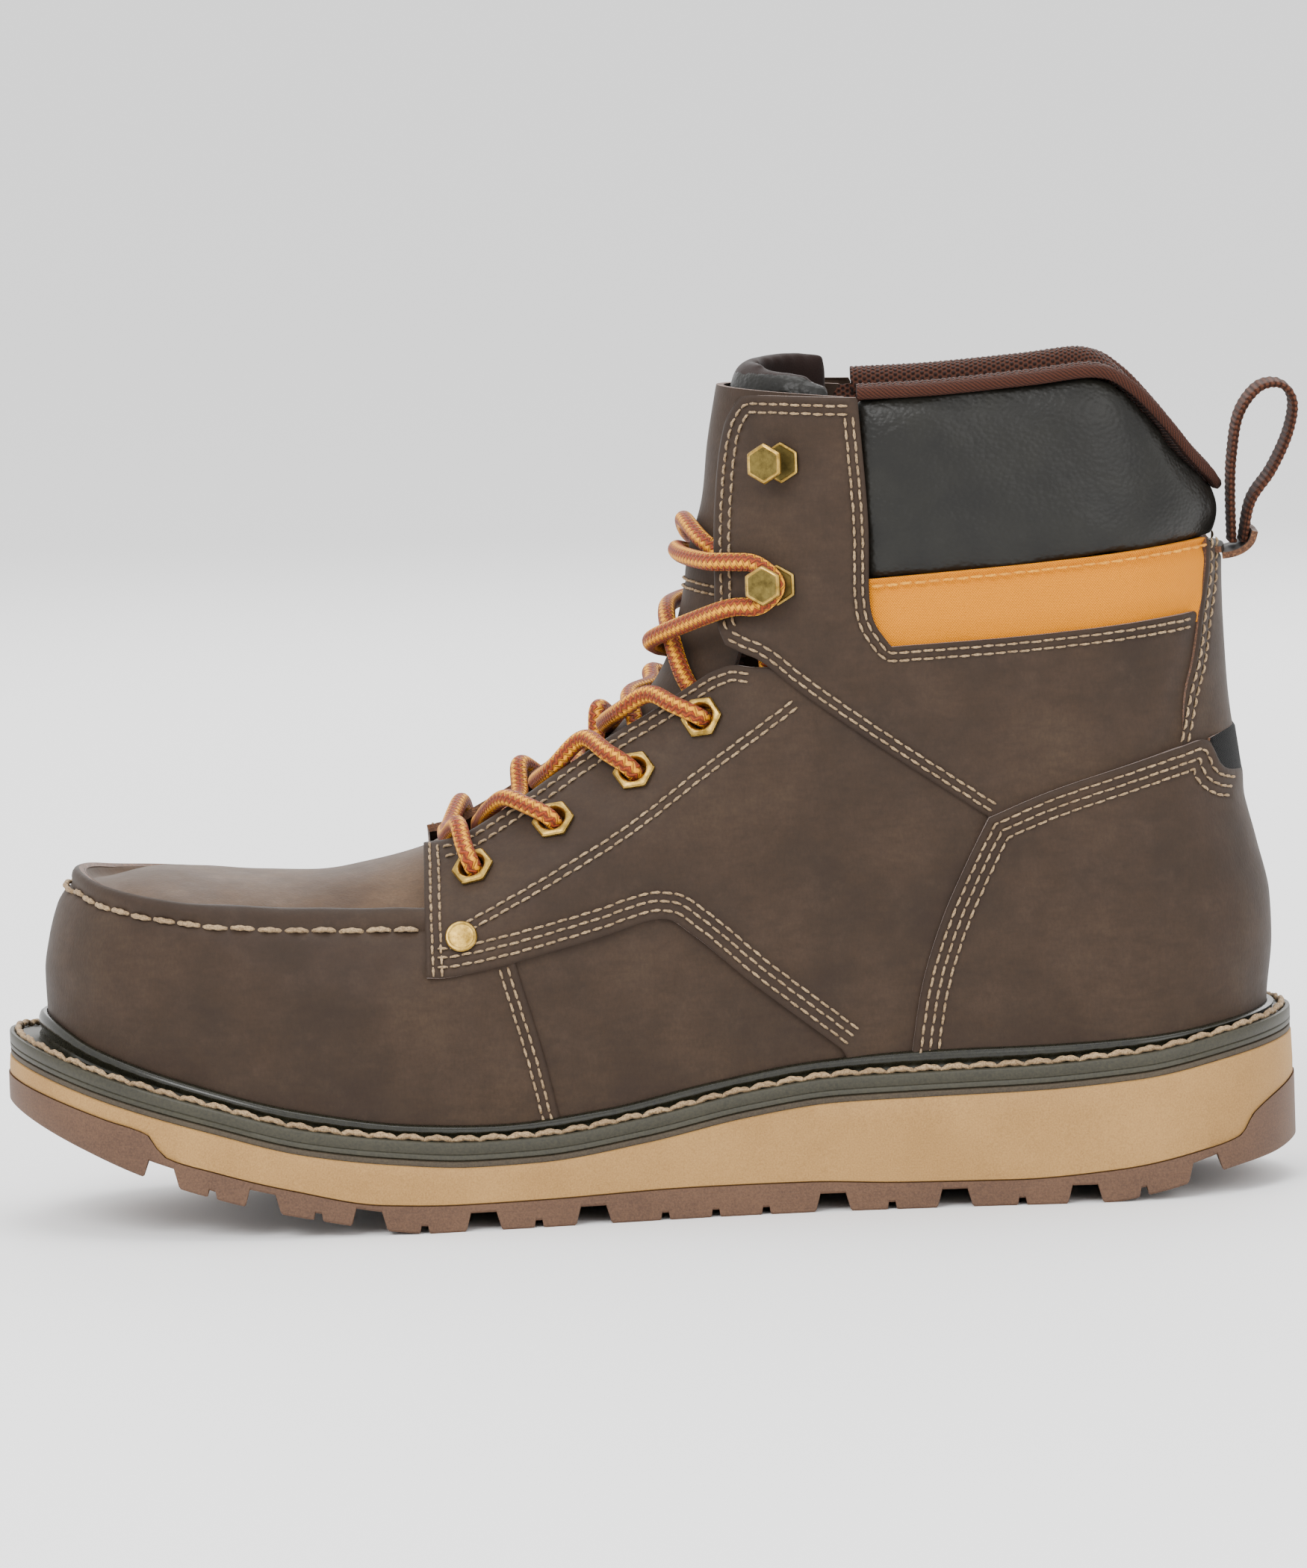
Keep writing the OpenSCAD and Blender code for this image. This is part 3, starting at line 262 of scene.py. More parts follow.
def ripple(p, size):
    """A gentle unevenness that is the same in every run."""
    x, y, z = (p[..., k] for k in range(3))
    return (np.sin(x / size + 1.3 * np.sin(z / size * 0.7)) * np.cos(z / size * 1.3 + y / size)
        + 0.5 * np.sin(x / size * 2.3 + z / size * 1.9 + y / size * 1.4)) / 1.5


# ---- Meshes ----
def link(name, data, body=None):
    piece = bpy.data.objects.new(name, data)
    bpy.context.scene.collection.objects.link(piece)
    if body:
        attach(piece, body)
    return piece


def solid(name, verts, faces, materials, body="boot", face_material=None, uv=None, sharp=40, floats=None):
    """A piece from points in millimetres. uv and floats are given for each point."""
    mesh = bpy.data.meshes.new(name)
    mesh.from_pydata((np.asarray(verts) * MM).tolist(), [], faces)
    for m in materials:
        mesh.materials.append(m)
    if face_material is not None:
        mesh.polygons.foreach_set("material_index", np.asarray(face_material, np.int32))
    corner = np.zeros(len(mesh.loops), np.int32)
    mesh.loops.foreach_get("vertex_index", corner)
    if uv is not None:
        layer = mesh.uv_layers.new(name="surface")
        layer.data.foreach_set("uv", np.asarray(uv, np.float32)[corner].ravel())
    for key, values in (floats or {}).items():
        mesh.attributes.new(key, "FLOAT", "POINT").data.foreach_set("value", np.asarray(values, np.float32))
    mesh.shade_smooth()
    mesh.set_sharp_from_angle(angle=math.radians(sharp))
    mesh.validate()
    return link(name, mesh, body)


def quads(rows, cols, start=0, wrap=False):
    last = cols if wrap else cols - 1
    return [(start + j * cols + i, start + j * cols + (i + 1) % cols,
        start + (j + 1) * cols + (i + 1) % cols, start + (j + 1) * cols + i)
        for j in range(rows - 1) for i in range(last)]


def caps(rows, cols):
    """The two end faces of a tube of rows of points."""
    return [tuple(range(cols - 1, -1, -1)), tuple((rows - 1) * cols + i for i in range(cols))]


def slab(name, upper, lower, materials, holes=None, body="boot", uv=None, floats=None):
    """A sheet with thickness between two grids. Its cut edges take the second material."""
    m, n = upper.shape[:2]
    k = m * n
    top = quads(m, n)
    low = [(k + a, k + d, k + c, k + b) for a, b, c, d in top]
    if holes is not None:
        keep = [not holes.reshape(-1)[list(f)].any() for f in top]
        top = [f for f, ok in zip(top, keep) if ok]
        low = [f for f, ok in zip(low, keep) if ok]
    rim = [j * n for j in range(m - 1, 0, -1)] + list(range(n - 1)) + [j * n + n - 1 for j in range(m - 1)]
    rim += [(m - 1) * n + i for i in range(n - 1, 0, -1)]
    wall = [(a, k + a, k + b, b) for a, b in zip(rim, rim[1:] + rim[:1])]
    faces = top + low + wall
    a, b, c, d = (upper.reshape(-1, 3)[i] for i in quads(m, n)[(m // 2) * (n - 1) + n // 2])
    away_from = upper[m // 2, n // 2] - lower[m // 2, n // 2]
    if np.dot(np.cross(b - a, d - a), away_from) < 0:
        faces = [f[::-1] for f in faces]
    sort = [0] * (len(top) + len(low)) + [min(1, len(materials) - 1)] * len(wall)
    both = np.concatenate([upper.reshape(-1, 3), lower.reshape(-1, 3)])
    double = {key: np.tile(np.asarray(v).reshape(-1), 2) for key, v in (floats or {}).items()}
    uvs = None if uv is None else np.tile(uv.reshape(-1, 2), (2, 1))
    return solid(name, both, faces, materials, body, sort, uvs, floats=double)


def sheet(name, where, g, high, low, materials, **more):
    """A slab that follows the skin, between two heights off it."""
    s, n = place(where, g), outward(where, g)
    return slab(name, s + n * high[..., None], s + n * low[..., None], materials, **more)


def spaced(total, step, fine=True):
    n = max(4, int(total / step))
    if not fine:
        return np.linspace(0, 1, n + 1)
    e = np.array([0, 0.3, 0.8, 1.6]) / total
    return np.concatenate([e, np.linspace(2.6 / total, 1 - 2.6 / total, n), 1 - e[::-1]])


def coons(bottom, top, left, right, step, fine=True):
    """A grid between four edges: bottom and top run the same way, left and right run upward."""
    u = spaced(max(length(bottom), length(top)), step, fine)
    v = spaced(max(length(left), length(right)), step, fine)
    b, t, l, r = along(bottom, u), along(top, u), along(left, v), along(right, v)
    U, V = u[None, :, None], v[:, None, None]
    return ((1 - V) * b + V * t + (1 - U) * l[:, None] + U * r[:, None]
        - ((1 - U) * (1 - V) * b[0] + U * (1 - V) * b[-1] + (1 - U) * V * t[0] + U * V * t[-1]))


def sweep(points, normals, section):
    """Points and faces of a tube. section is [side, normal] offsets at each point of the line."""
    n, s = section.shape[:2]
    t = unit(np.gradient(points, axis=0))
    up = unit(normals - t * np.sum(normals * t, -1, keepdims=True))
    side = np.cross(t, up)
    verts = points[:, None] + side[:, None] * section[..., :1] + up[:, None] * section[..., 1:]
    faces = quads(n, s, wrap=True) + caps(n, s)
    return verts.reshape(-1, 3), [f[::-1] for f in faces]


def carried(points):
    """Normals carried along a line with no twist."""
    t = unit(np.gradient(points, axis=0))
    n = np.empty_like(points)
    u = np.cross(t[0], [0, 0, 1.0])
    for i in range(len(points)):
        u = u - t[i] * (u @ t[i])
        u = u / np.linalg.norm(u)
        n[i] = u
    return n


def oval(w, h, sides, power=1.0):
    a = np.linspace(0, 2 * math.pi, sides, endpoint=False)
    c, s = np.cos(a), np.sin(a)
    return np.stack([np.sign(c) * np.abs(c) ** power * w / 2, np.sign(s) * np.abs(s) ** power * h / 2], -1)


class Threads:
    """Stitches gathered into one mesh. Each is a short twisted thread that dips in at its ends."""

    def __init__(self):
        self.verts, self.faces, self.shade, self.count = [], [], [], 0

    def row(self, line, normals, pitch, share=0.84, r=0.33, rise=0.42, sink=0.3, plies=2, sides=8, rings=8):
        total = length(line)
        number = max(1, int(round(total / pitch)))
        pitch = total / number
        start = (np.arange(number) + (1 - share) / 2) * pitch
        t = np.linspace(0, 1, rings)
        s = (start[:, None] + t * pitch * share) / total
        p, n = along(line, s), unit(along(normals, s))
        d = unit(np.gradient(p, axis=1))
        side = np.cross(d, n)
        wander = 0.18 * r * np.sin(np.arange(number) * 2.4)[:, None, None]
        p = p + n * (rise * np.sin(math.pi * t)[:, None] ** 0.6 - sink) + side * wander
        a = np.linspace(0, 2 * math.pi, sides, endpoint=False)
        twist = (s * total * 2.2 / (r * 2 + 0.4))[..., None]
        plump = (0.5 + 0.5 * np.sin(math.pi * t) ** 0.45)[:, None]
        size = r * plump * (1 + 0.16 * np.cos(plies * a + plies * twist))
        verts = (p[:, :, None] + side[:, :, None] * (np.cos(a) * size)[..., None]
            + n[:, :, None] * (np.sin(a) * size)[..., None])
        one = quads(rings, sides, wrap=True) + caps(rings, sides)
        for k in range(number):
            base = self.count + k * rings * sides
            self.faces += [tuple(base + i for i in f[::-1]) for f in one]
        self.verts.append(verts.reshape(-1, 3))
        self.shade.append(np.repeat(0.5 + 0.5 * np.sin(np.arange(number) * 5.1), rings * sides))
        self.count += number * rings * sides

    def piece(self, name, material, body="boot"):
        return solid(name, np.concatenate(self.verts), self.faces, [material], body, sharp=80,
            floats={"shade": np.concatenate(self.shade)})


# ---- Materials ----
def rgb(r, g, b):
    """Screen values from 0 to 255 as the linear colour a shader takes."""
    return tuple(((c / 255 + 0.055) / 1.055) ** 2.4 if c > 10 else c / 255 / 12.92 for c in (r, g, b)) + (1,)


class Look:
    """A material, and the few kinds of node that the looks are made from."""

    def __init__(self, name, values):
        self.material = bpy.data.materials.new(name)
        self.material.use_nodes = True
        self.tree = self.material.node_tree
        self.shader = self.tree.nodes["Principled BSDF"]
        self.height = None
        for key, value in values.items():
            self.shader.inputs[key].default_value = value

    def node(self, kind, values=(), **settings):
        made = self.tree.nodes.new(kind)
        for key, value in settings.items():
            setattr(made, key, value)
        for key, value in dict(values).items():
            if isinstance(value, bpy.types.NodeSocket):
                self.tree.links.new(value, made.inputs[key])
            else:
                made.inputs[key].default_value = value
        return made

    def space(self, stretch=(1, 1, 1), uv=False):
        spot = self.node("ShaderNodeTexCoord").outputs["UV" if uv else "Object"]
        return self.node("ShaderNodeMapping", {"Vector": spot, "Scale": stretch}).outputs[0]

    def noise(self, scale, detail=3, rough=0.55, at=None):
        values = {"Scale": scale, "Detail": detail, "Roughness": rough, "Vector": at or self.space()}
        return self.node("ShaderNodeTexNoise", values).outputs[0]

    def cells(self, scale):
        values = {"Scale": scale, "Vector": self.space()}
        return self.node("ShaderNodeTexVoronoi", values).outputs["Distance"]

    def attribute(self, name):
        return self.node("ShaderNodeAttribute", attribute_name=name).outputs["Fac"]

    def math(self, operation, a, b=0.0, c=0.0):
        return self.node("ShaderNodeMath", {0: a, 1: b, 2: c}, operation=operation).outputs[0]

    def ramp(self, fac, *stops):
        made = self.node("ShaderNodeValToRGB", {"Fac": fac})
        ends = made.color_ramp.elements
        while len(ends) < len(stops):
            ends.new(0.5)
        for end, (at, colour) in zip(ends, stops):
            end.position = at
            end.color = colour if isinstance(colour, tuple) else (colour, colour, colour, 1)
        return made.outputs[0]

    def mix(self, fac, a, b):
        return self.node("ShaderNodeMix", {0: fac, 6: a, 7: b}, data_type="RGBA").outputs[2]

    def times(self, a, b):
        return self.math("MULTIPLY", a, b)

    def wave(self, phase):
        """A sine, raised to run from 0 to 1."""
        return self.math("MULTIPLY_ADD", self.math("SINE", phase), 0.5, 0.5)

    def colour(self, socket):
        self.tree.links.new(socket, self.shader.inputs["Base Color"])

    def rough(self, fac, low, high):
        spread = self.node("ShaderNodeMapRange", {0: fac, 3: low, 4: high}).outputs[0]
        self.tree.links.new(spread, self.shader.inputs["Roughness"])

    def bump(self, height, depth, strength=1.0):
        """Adds relief, depth in millimetres."""
        values = {"Height": height, "Distance": depth * MM, "Strength": strength}
        if self.height:
            values["Normal"] = self.height
        self.height = self.node("ShaderNodeBump", values).outputs[0]
        self.tree.links.new(self.height, self.shader.inputs["Normal"])


def leather_look(name, dark, middle, light):
    """Oiled nubuck: blotches, scuffs and a fine nap."""
    look = Look(name, {"Specular IOR Level": 0.2, "Sheen Weight": 0.04, "Sheen Roughness": 0.5})
    blotch = look.noise(34, 5, 0.62)
    scuff = look.noise(120, 6, 0.7)
    nap = look.noise(1500, 3, 0.6, look.space((1, 1, 0.55)))
    base = look.ramp(blotch, (0.22, dark), (0.5, middle), (0.84, light))
    streak = look.noise(1, 4, 0.7, look.space((160, 160, 520)))
    base = look.mix(look.ramp(streak, (0.35, 0.35), (0.6, 0.0)), base, dark)
    wear_and_groove_shade = look.ramp(scuff, (0.56, 0.0), (0.78, 0.4))
    base = look.mix(wear_and_groove_shade, base, light)
    base = look.mix(look.ramp(nap, (0.25, 0.42), (0.7, 0.0)), base, dark)
    # Darker near the edges, with painted shade in the stitch grooves and under the toe's ridge, from the rim
    # float.
    rim = look.ramp(look.attribute("rim"), (0.0, 0.0), (1.0, 0.55))
    base = look.mix(rim, base, dark)
    specks = look.ramp(look.cells(260), (0.0, 0.5), (0.035, 0.0))
    look.colour(look.mix(specks, base, light))
    look.rough(scuff, 0.78, 0.52)
    look.bump(look.noise(160, 4, 0.6), 0.25, 0.5)
    look.bump(nap, 0.09, 0.8)
    return look.material


def raw_edge_look():
    look = Look("leather_cut_edge", {"Specular IOR Level": 0.2, "Roughness": 0.9, "Sheen Weight": 0.3})
    fuzz = look.noise(1600, 5, 0.75)
    look.colour(look.ramp(fuzz, (0.3, rgb(48, 30, 20)), (0.5, rgb(86, 56, 38)), (0.72, rgb(146, 100, 64))))
    look.bump(fuzz, 0.35)
    return look.material


def thread_look(name, dark, light):
    look = Look(name, {"Roughness": 0.72, "Specular IOR Level": 0.3, "Sheen Weight": 0.06})
    fibre = look.noise(2600, 3, 0.6)
    base = look.ramp(fibre, (0.3, dark), (0.68, light))
    look.colour(look.mix(look.ramp(look.attribute("shade"), (0.0, 0.0), (1.0, 0.35)), base, dark))
    look.bump(fibre, 0.08)
    return look.material


def vinyl_look():
    look = Look("vinyl_charcoal", {"Specular IOR Level": 0.26})
    pebble = look.node("ShaderNodeTexVoronoi", {"Scale": 820, "Vector": look.space((1, 1, 1.25)),
        "Smoothness": 0.6}, feature="SMOOTH_F1").outputs["Distance"]
    tone = look.noise(90, 4)
    look.colour(look.ramp(tone, (0.35, rgb(16, 15, 12)), (0.7, rgb(24, 23, 19))))
    look.rough(tone, 0.46, 0.36)
    look.bump(look.noise(240, 5, 0.65), 0.32, 0.55)
    look.bump(pebble, -0.16, 0.9)
    return look.material


def honeycomb(look, pitch):
    """Rows of round cells on the surface's own coordinates, in millimetres."""
    split = look.node("ShaderNodeSeparateXYZ", {"Vector": look.space(uv=True)})
    u, v = split.outputs[0], split.outputs[1]
    k = 2 * math.pi / pitch
    total = look.math("COSINE", look.times(u, k))
    for s in (1, -1):
        slant = look.math("MULTIPLY_ADD", u, -k / 2, look.times(v, s * k * math.sqrt(3) / 2))
        total = look.math("ADD", total, look.math("COSINE", slant))
    return look.node("ShaderNodeMapRange", {0: total, 1: -1.5, 2: 3.0}).outputs[0]


def mesh_cloth_look(name, dark, light, pitch):
    look = Look(name, {"Roughness": 0.85, "Specular IOR Level": 0.2, "Sheen Weight": 0.08})
    cell = honeycomb(look, pitch)
    fibre = look.noise(3000, 2)
    # Painted shade: the cells' sunk middles, the mesh's holes, are darkest.
    base = look.ramp(cell, (0.1, light), (0.38, dark), (0.8, tuple(c * 0.35 for c in dark[:3]) + (1,)))
    look.colour(look.mix(look.times(fibre, 0.5), base, dark))
    look.bump(cell, -0.5, 0.9)
    look.bump(fibre, 0.08)
    return look.material


def woven_look(name, dark, light, pitch, slope, depth):
    """Threads in slanting rows, on the surface's own coordinates in millimetres."""
    look = Look(name, {"Roughness": 0.75, "Specular IOR Level": 0.14, "Sheen Weight": 0.02})
    split = look.node("ShaderNodeSeparateXYZ", {"Vector": look.space(uv=True)})
    k = 2 * math.pi / pitch
    v = split.outputs[1]
    row = look.math("MULTIPLY_ADD", split.outputs[0], k, look.times(v, k * slope))
    step = look.times(look.math("SINE", look.times(v, k * 1.7)), 0.9)
    line = look.wave(look.math("ADD", row, step))
    tone = look.noise(60, 3)
    # Painted shade: the threads are darker in the grooves between the rows and lighter on their raised parts.
    base = look.ramp(line, (0.0, dark), (0.55, light))
    look.colour(look.mix(look.times(tone, 0.3), base, dark))
    look.bump(line, depth)
    look.bump(look.noise(2800, 2), 0.05)
    return look.material


def moulded_look(name, dark, light, rough, speck=2400, lines=False, relief=0.05):
    """Foam or rubber: fine specks, and buffing lines along the boot."""
    look = Look(name, {"Specular IOR Level": 0.4})
    grain = look.noise(speck, 3, 0.7)
    cloud = look.noise(55, 4)
    tone = look.math("ADD", look.times(grain, 0.7), look.times(cloud, 0.3))
    base = look.ramp(tone, (0.36, dark), (0.62, light))
    if lines:
        streak = look.noise(1, 3, 0.6, look.space((70, 70, 1900)))
        base = look.mix(look.ramp(streak, (0.55, 0.0), (0.8, 0.6)), base, light)
        look.bump(streak, 0.1, 0.7)
    look.colour(base)
    look.rough(grain, rough - 0.06, rough + 0.08)
    look.bump(grain, relief)
    return look.material


def metal_look(name, dark, light, rough):
    look = Look(name, {"Metallic": 1.0})
    tarnish = look.noise(420, 5, 0.7)
    look.colour(look.ramp(tarnish, (0.32, dark), (0.62, light)))
    look.rough(tarnish, rough + 0.14, rough - 0.05)
    look.bump(look.noise(1900, 2), 0.02)
    return look.material


def lace_look():
    """A braid: gold and rust bands run along it with toothed borders, each a row of slanting strands."""
    look = Look("lace_braid", {"Roughness": 0.62, "Specular IOR Level": 0.25, "Sheen Weight": 0.05})
    far, bands, pitch = look.attribute("far"), 8, 1.7
    angle = look.math("ARCTAN2", look.attribute("around_y"), look.attribute("around_x"))
    tooth = look.math("PINGPONG", far, pitch / 2)
    turn = look.math("ADD", look.times(angle, bands / (2 * math.pi)), look.times(tooth, 0.75))
    band = look.math("FLOOR", turn)
    local = look.math("SUBTRACT", turn, band)
    odd = look.times(look.math("FRACT", look.times(band, 0.5)), 2.0)
    slant = look.times(look.math("MULTIPLY_ADD", odd, -2.0, 1.0), look.times(local, 0.9))
    phase = look.math("ADD", look.times(far, 1 / pitch), slant)
    strand = look.wave(look.times(phase, 2 * math.pi))
    border = look.math("MINIMUM", local, look.math("SUBTRACT", 1.0, local))
    height = look.math("MINIMUM", strand, look.times(border, 5.0))
    fibre = look.noise(3200, 3, 0.6)
    gold = look.ramp(fibre, (0.3, rgb(206, 124, 0)), (0.7, rgb(248, 172, 8)))
    rust = look.ramp(fibre, (0.3, rgb(112, 38, 8)), (0.7, rgb(168, 72, 22)))
    base = look.mix(odd, gold, rust)
    # Painted shade: near-black brown in the grooves between strands and along the band borders.
    look.colour(look.mix(look.ramp(height, (0.04, 0.75), (0.4, 0.0)), base, rgb(64, 26, 8)))
    look.bump(height, 0.3)
    look.bump(fibre, 0.06)
    return look.material


leather = leather_look("leather_brown", rgb(37, 26, 18), rgb(52, 38, 27), rgb(68, 52, 38))
# A lighter copy of the same nubuck for the toe's top, which faces the lamps: painted light.
leather_lit_top = leather_look("leather_apron_lit", rgb(54, 39, 27), rgb(78, 58, 41), rgb(104, 81, 59))
raw_edge = raw_edge_look()
thread = thread_look("thread_beige", rgb(98, 76, 52), rgb(176, 150, 114))
thread_yellow = thread_look("thread_yellow", rgb(170, 96, 6), rgb(240, 170, 30))
vinyl = vinyl_look()
mesh_cloth = mesh_cloth_look("mesh_brown", rgb(40, 20, 13), rgb(76, 42, 28), 1.1)
knit = woven_look("knit_binding", rgb(34, 18, 12), rgb(82, 44, 30), 1.15, 0.5, 0.3)
webbing = woven_look("webbing_brown", rgb(38, 20, 13), rgb(88, 52, 36), 1.3, 0.0, 0.35)
twill = woven_look("twill_yellow", rgb(184, 104, 0), rgb(226, 142, 0), 0.62, 1.0, 0.14)
black_cloth = woven_look("cloth_black", rgb(4, 4, 4), rgb(13, 13, 13), 0.8, 1.0, 0.12)
footbed_cloth = mesh_cloth_look("footbed_cloth", rgb(34, 34, 37), rgb(62, 62, 66), 1.5)
lining_plain = moulded_look("lining_plain", rgb(120, 104, 84), rgb(152, 134, 110), 0.85, 1800)
rubber = moulded_look("rubber_brown", rgb(66, 43, 29), rgb(94, 67, 47), 0.62, 2200, lines=True)
foam = moulded_look("foam_tan", rgb(138, 102, 54), rgb(164, 126, 72), 0.68, 2600)
strip_rubber = moulded_look("strip_rubber", rgb(46, 38, 28), rgb(70, 60, 45), 0.66, 2200, lines=True)
welt_rubber = moulded_look("welt_rubber", rgb(34, 32, 21), rgb(52, 49, 35), 0.5, 1500)
rand_rubber = moulded_look("rand_rubber", rgb(16, 15, 9), rgb(30, 29, 19), 0.27, 900, relief=0.015)
brass = metal_look("brass_satin", rgb(126, 98, 40), rgb(186, 152, 78), 0.34)
brass_dark = metal_look("brass_antique", rgb(78, 66, 34), rgb(118, 102, 56), 0.4)
steel = metal_look("steel_satin", rgb(120, 122, 126), rgb(176, 178, 182), 0.36)
board = moulded_look("fibre_board", rgb(150, 128, 92), rgb(190, 168, 130), 0.9, 1200)
cork = moulded_look("cork_filler", rgb(96, 66, 40), rgb(156, 116, 76), 0.9, 500)
edge_rubber = moulded_look("cap_edge_rubber", rgb(22, 22, 22), rgb(40, 40, 40), 0.6)
hard_plastic = moulded_look("stiffener_plastic", rgb(168, 162, 148), rgb(196, 190, 176), 0.5)
lace_tip = moulded_look("lace_tip_film", rgb(120, 66, 24), rgb(170, 104, 44), 0.25)
braid = lace_look()


# ---- The sole ----
SOLE_FRONT, SOLE_BACK = -158, 152
UPPER_FRONT, UPPER_BACK = -148, 145.3
WELT_OUT = 6
STRIP_T, WELT_T, INSOLE_T, FOOTBED_T = 1.5, 4.5, 2.4, 5.5
LUG_GAP, LUG_DEPTH, SIPE_W, SIPE_DEPTH = 8.6, 4.4, 2.6, 1.8
GROOVES_FROM, GROOVES_TO = -54, 96


def outline(out, front, back, toe_r, heel_r, extra=()):
    """Both edges, seen from above, at the same stations along the boot."""
    a = np.linspace(0, math.pi / 2, 46)
    b = np.linspace(0, math.pi / 2, 40)[1:]
    x = np.concatenate([front + toe_r * (1 - np.cos(a)), np.linspace(front + toe_r, back - heel_r, 80)[1:],
        back - heel_r + heel_r * np.sin(b)])
    x = np.unique(np.round(np.concatenate([x, extra]), 4))
    turn = np.where(x < front + toe_r, np.sqrt(np.clip(1 - ((front + toe_r - x) / toe_r) ** 2, 0, 1)),
        np.where(x > back - heel_r, np.sqrt(np.clip(1 - ((x - back + heel_r) / heel_r) ** 2, 0, 1)), 1))
    return {s: np.stack([x, curve(middle_y, x) + s * (curve(foot_w[s], x) + out) * turn], -1)
        for s in (LATERAL, MEDIAL)}


def sole_outline(inset, extra=()):
    return outline(WELT_OUT - inset, SOLE_FRONT + inset, SOLE_BACK - inset, 66 - inset, 41 - inset, extra)


def upper_outline(inset):
    return outline(-inset, UPPER_FRONT + inset, UPPER_BACK - inset, TOE_ROUND - inset, HEEL_ROUND - inset)


def plate_z(x):
    return curve(wedge_line, x) + STRIP_T + WELT_T


def closed(edges):
    return np.concatenate([edges[LATERAL], edges[MEDIAL][-2:0:-1]])


def shell(name, loops, material, ring=False):
    """A body of loops round the boot, each an outline at a height. Without ring, its ends are capped."""
    rings = []
    for edges, z in loops:
        p = closed(edges)
        rings.append(np.column_stack([p, z(p[:, 0])]))
    n, stations = len(rings[0]), len(loops[0][0][LATERAL])
    faces = quads(len(rings) + (1 if ring else 0), n, wrap=True)
    if ring:
        faces = [tuple(i % (n * len(rings)) for i in f) for f in faces]
    else:
        other = [i if i in (0, stations - 1) else n - i for i in range(stations)]
        for base, flip in ((0, False), ((len(rings) - 1) * n, True)):
            for i in range(stations - 1):
                corners = (i, i + 1, other[i + 1], other[i])
                f = list(dict.fromkeys(base + c for c in corners))
                faces.append(tuple(f[::-1] if flip else f))
    return solid(name, np.concatenate(rings), faces, [material], sharp=50)


def lifted(line, up=0.0):
    return lambda x: curve(line, x) + up


gaps = [[-120, LUG_GAP, LUG_DEPTH], [-108, SIPE_W, SIPE_DEPTH], [-96, LUG_GAP, LUG_DEPTH],
    [-83, SIPE_W, SIPE_DEPTH], [-71, LUG_GAP, LUG_DEPTH], [-58, SIPE_W, SIPE_DEPTH],
    [-44, LUG_GAP, LUG_DEPTH], [-31, SIPE_W, SIPE_DEPTH], [-18, LUG_GAP, LUG_DEPTH],
    [-1, SIPE_W, SIPE_DEPTH], [11, SIPE_W, SIPE_DEPTH], [23, SIPE_W, SIPE_DEPTH],
    [39, LUG_GAP, LUG_DEPTH], [53, SIPE_W, SIPE_DEPTH], [68, LUG_GAP, LUG_DEPTH],
    [84, SIPE_W, SIPE_DEPTH], [99, LUG_GAP, LUG_DEPTH], [113, SIPE_W, LUG_DEPTH / 2],
    [128, LUG_GAP, LUG_DEPTH]]


def outsole():
    """Rubber with lugs. Gaps part the lugs across the sole, and two grooves along it."""
    slant, corner = 0.3, 0.25
    steps = []
    for middle, wide, deep in gaps:
        a, b, s = middle - wide / 2, middle + wide / 2, deep * slant
        for x, up in ((a - corner, 0), (a + corner, 0.12 * deep), (a + s, deep), (b - s, deep),
                (b - corner, 0.12 * deep), (b + corner, 0)):
            steps.append([x, up])
    steps = np.array(steps)
    edges = sole_outline(0, steps[:, 0])
    x = edges[LATERAL][:, 0]
    cut = np.interp(x, steps[:, 0], steps[:, 1], 0, 0)
    ground = curve(ground_line, x)
    low, high = ground + cut, curve(rubber_line, x)
    levels = (high, high * 0.5 + low * 0.5, low + 0.5, low)

    def wall(side):
        """A side wall from the foam down, drawn in a little at the ground."""
        y, drawn = edges[side][:, 1], side * 0.35
        return [np.column_stack([x, y - (drawn if z is low else 0), z]) for z in levels]
    inside = (x > GROOVES_FROM) & (x < GROOVES_TO)
    narrow = edges[LATERAL][:, 1] - edges[MEDIAL][:, 1] < 1
    rows = wall(LATERAL)
    for y in (24.4, 24, 20, 19.6, 0, -19.6, -20, -24, -24.4):
        groove = np.where(inside & (19.9 <= abs(y) <= 24.1), np.maximum(cut, LUG_DEPTH - 0.4), cut)
        fits = np.clip(y, edges[MEDIAL][:, 1] + 0.4, edges[LATERAL][:, 1] - 0.4)
        rows.append(np.column_stack([x, np.where(narrow, edges[MEDIAL][:, 1], fits),
            np.minimum(ground + groove, high - 1)]))
    rows += wall(MEDIAL)[::-1]
    g = np.array(rows)
    m, n = g.shape[:2]
    faces = quads(m, n)
    faces += [(i, i + 1, (m - 1) * n + i + 1, (m - 1) * n + i) for i in range(n - 1)]
    for end in (0, n - 1):
        rim = [j * n + end for j in range(m)]
        faces.append(tuple(rim if end else rim[::-1]))
    faces = [f[::-1] for f in faces]
    piece = solid("outsole_rubber", g.reshape(-1, 3), faces, [rubber], sharp=28)
    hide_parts("outsole")


def midsole():
    bevel = 0.35

    def between(share):
        return lambda x: mix(curve(rubber_line, x), curve(wedge_line, x), share)
    loops = [(8, lifted(rubber_line, 0.02)), (0.8, lifted(rubber_line, 0.02)),
        (0.35, lifted(rubber_line, bevel)), (0.3, between(0.3)), (0.45, between(0.75)),
        (0.5, lifted(wedge_line, -bevel)), (0.9, lifted(wedge_line, -0.02)), (8, lifted(wedge_line, -0.02))]
    piece = shell("midsole_wedge", [(sole_outline(i), z) for i, z in loops], foam)
    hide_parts("midsole")


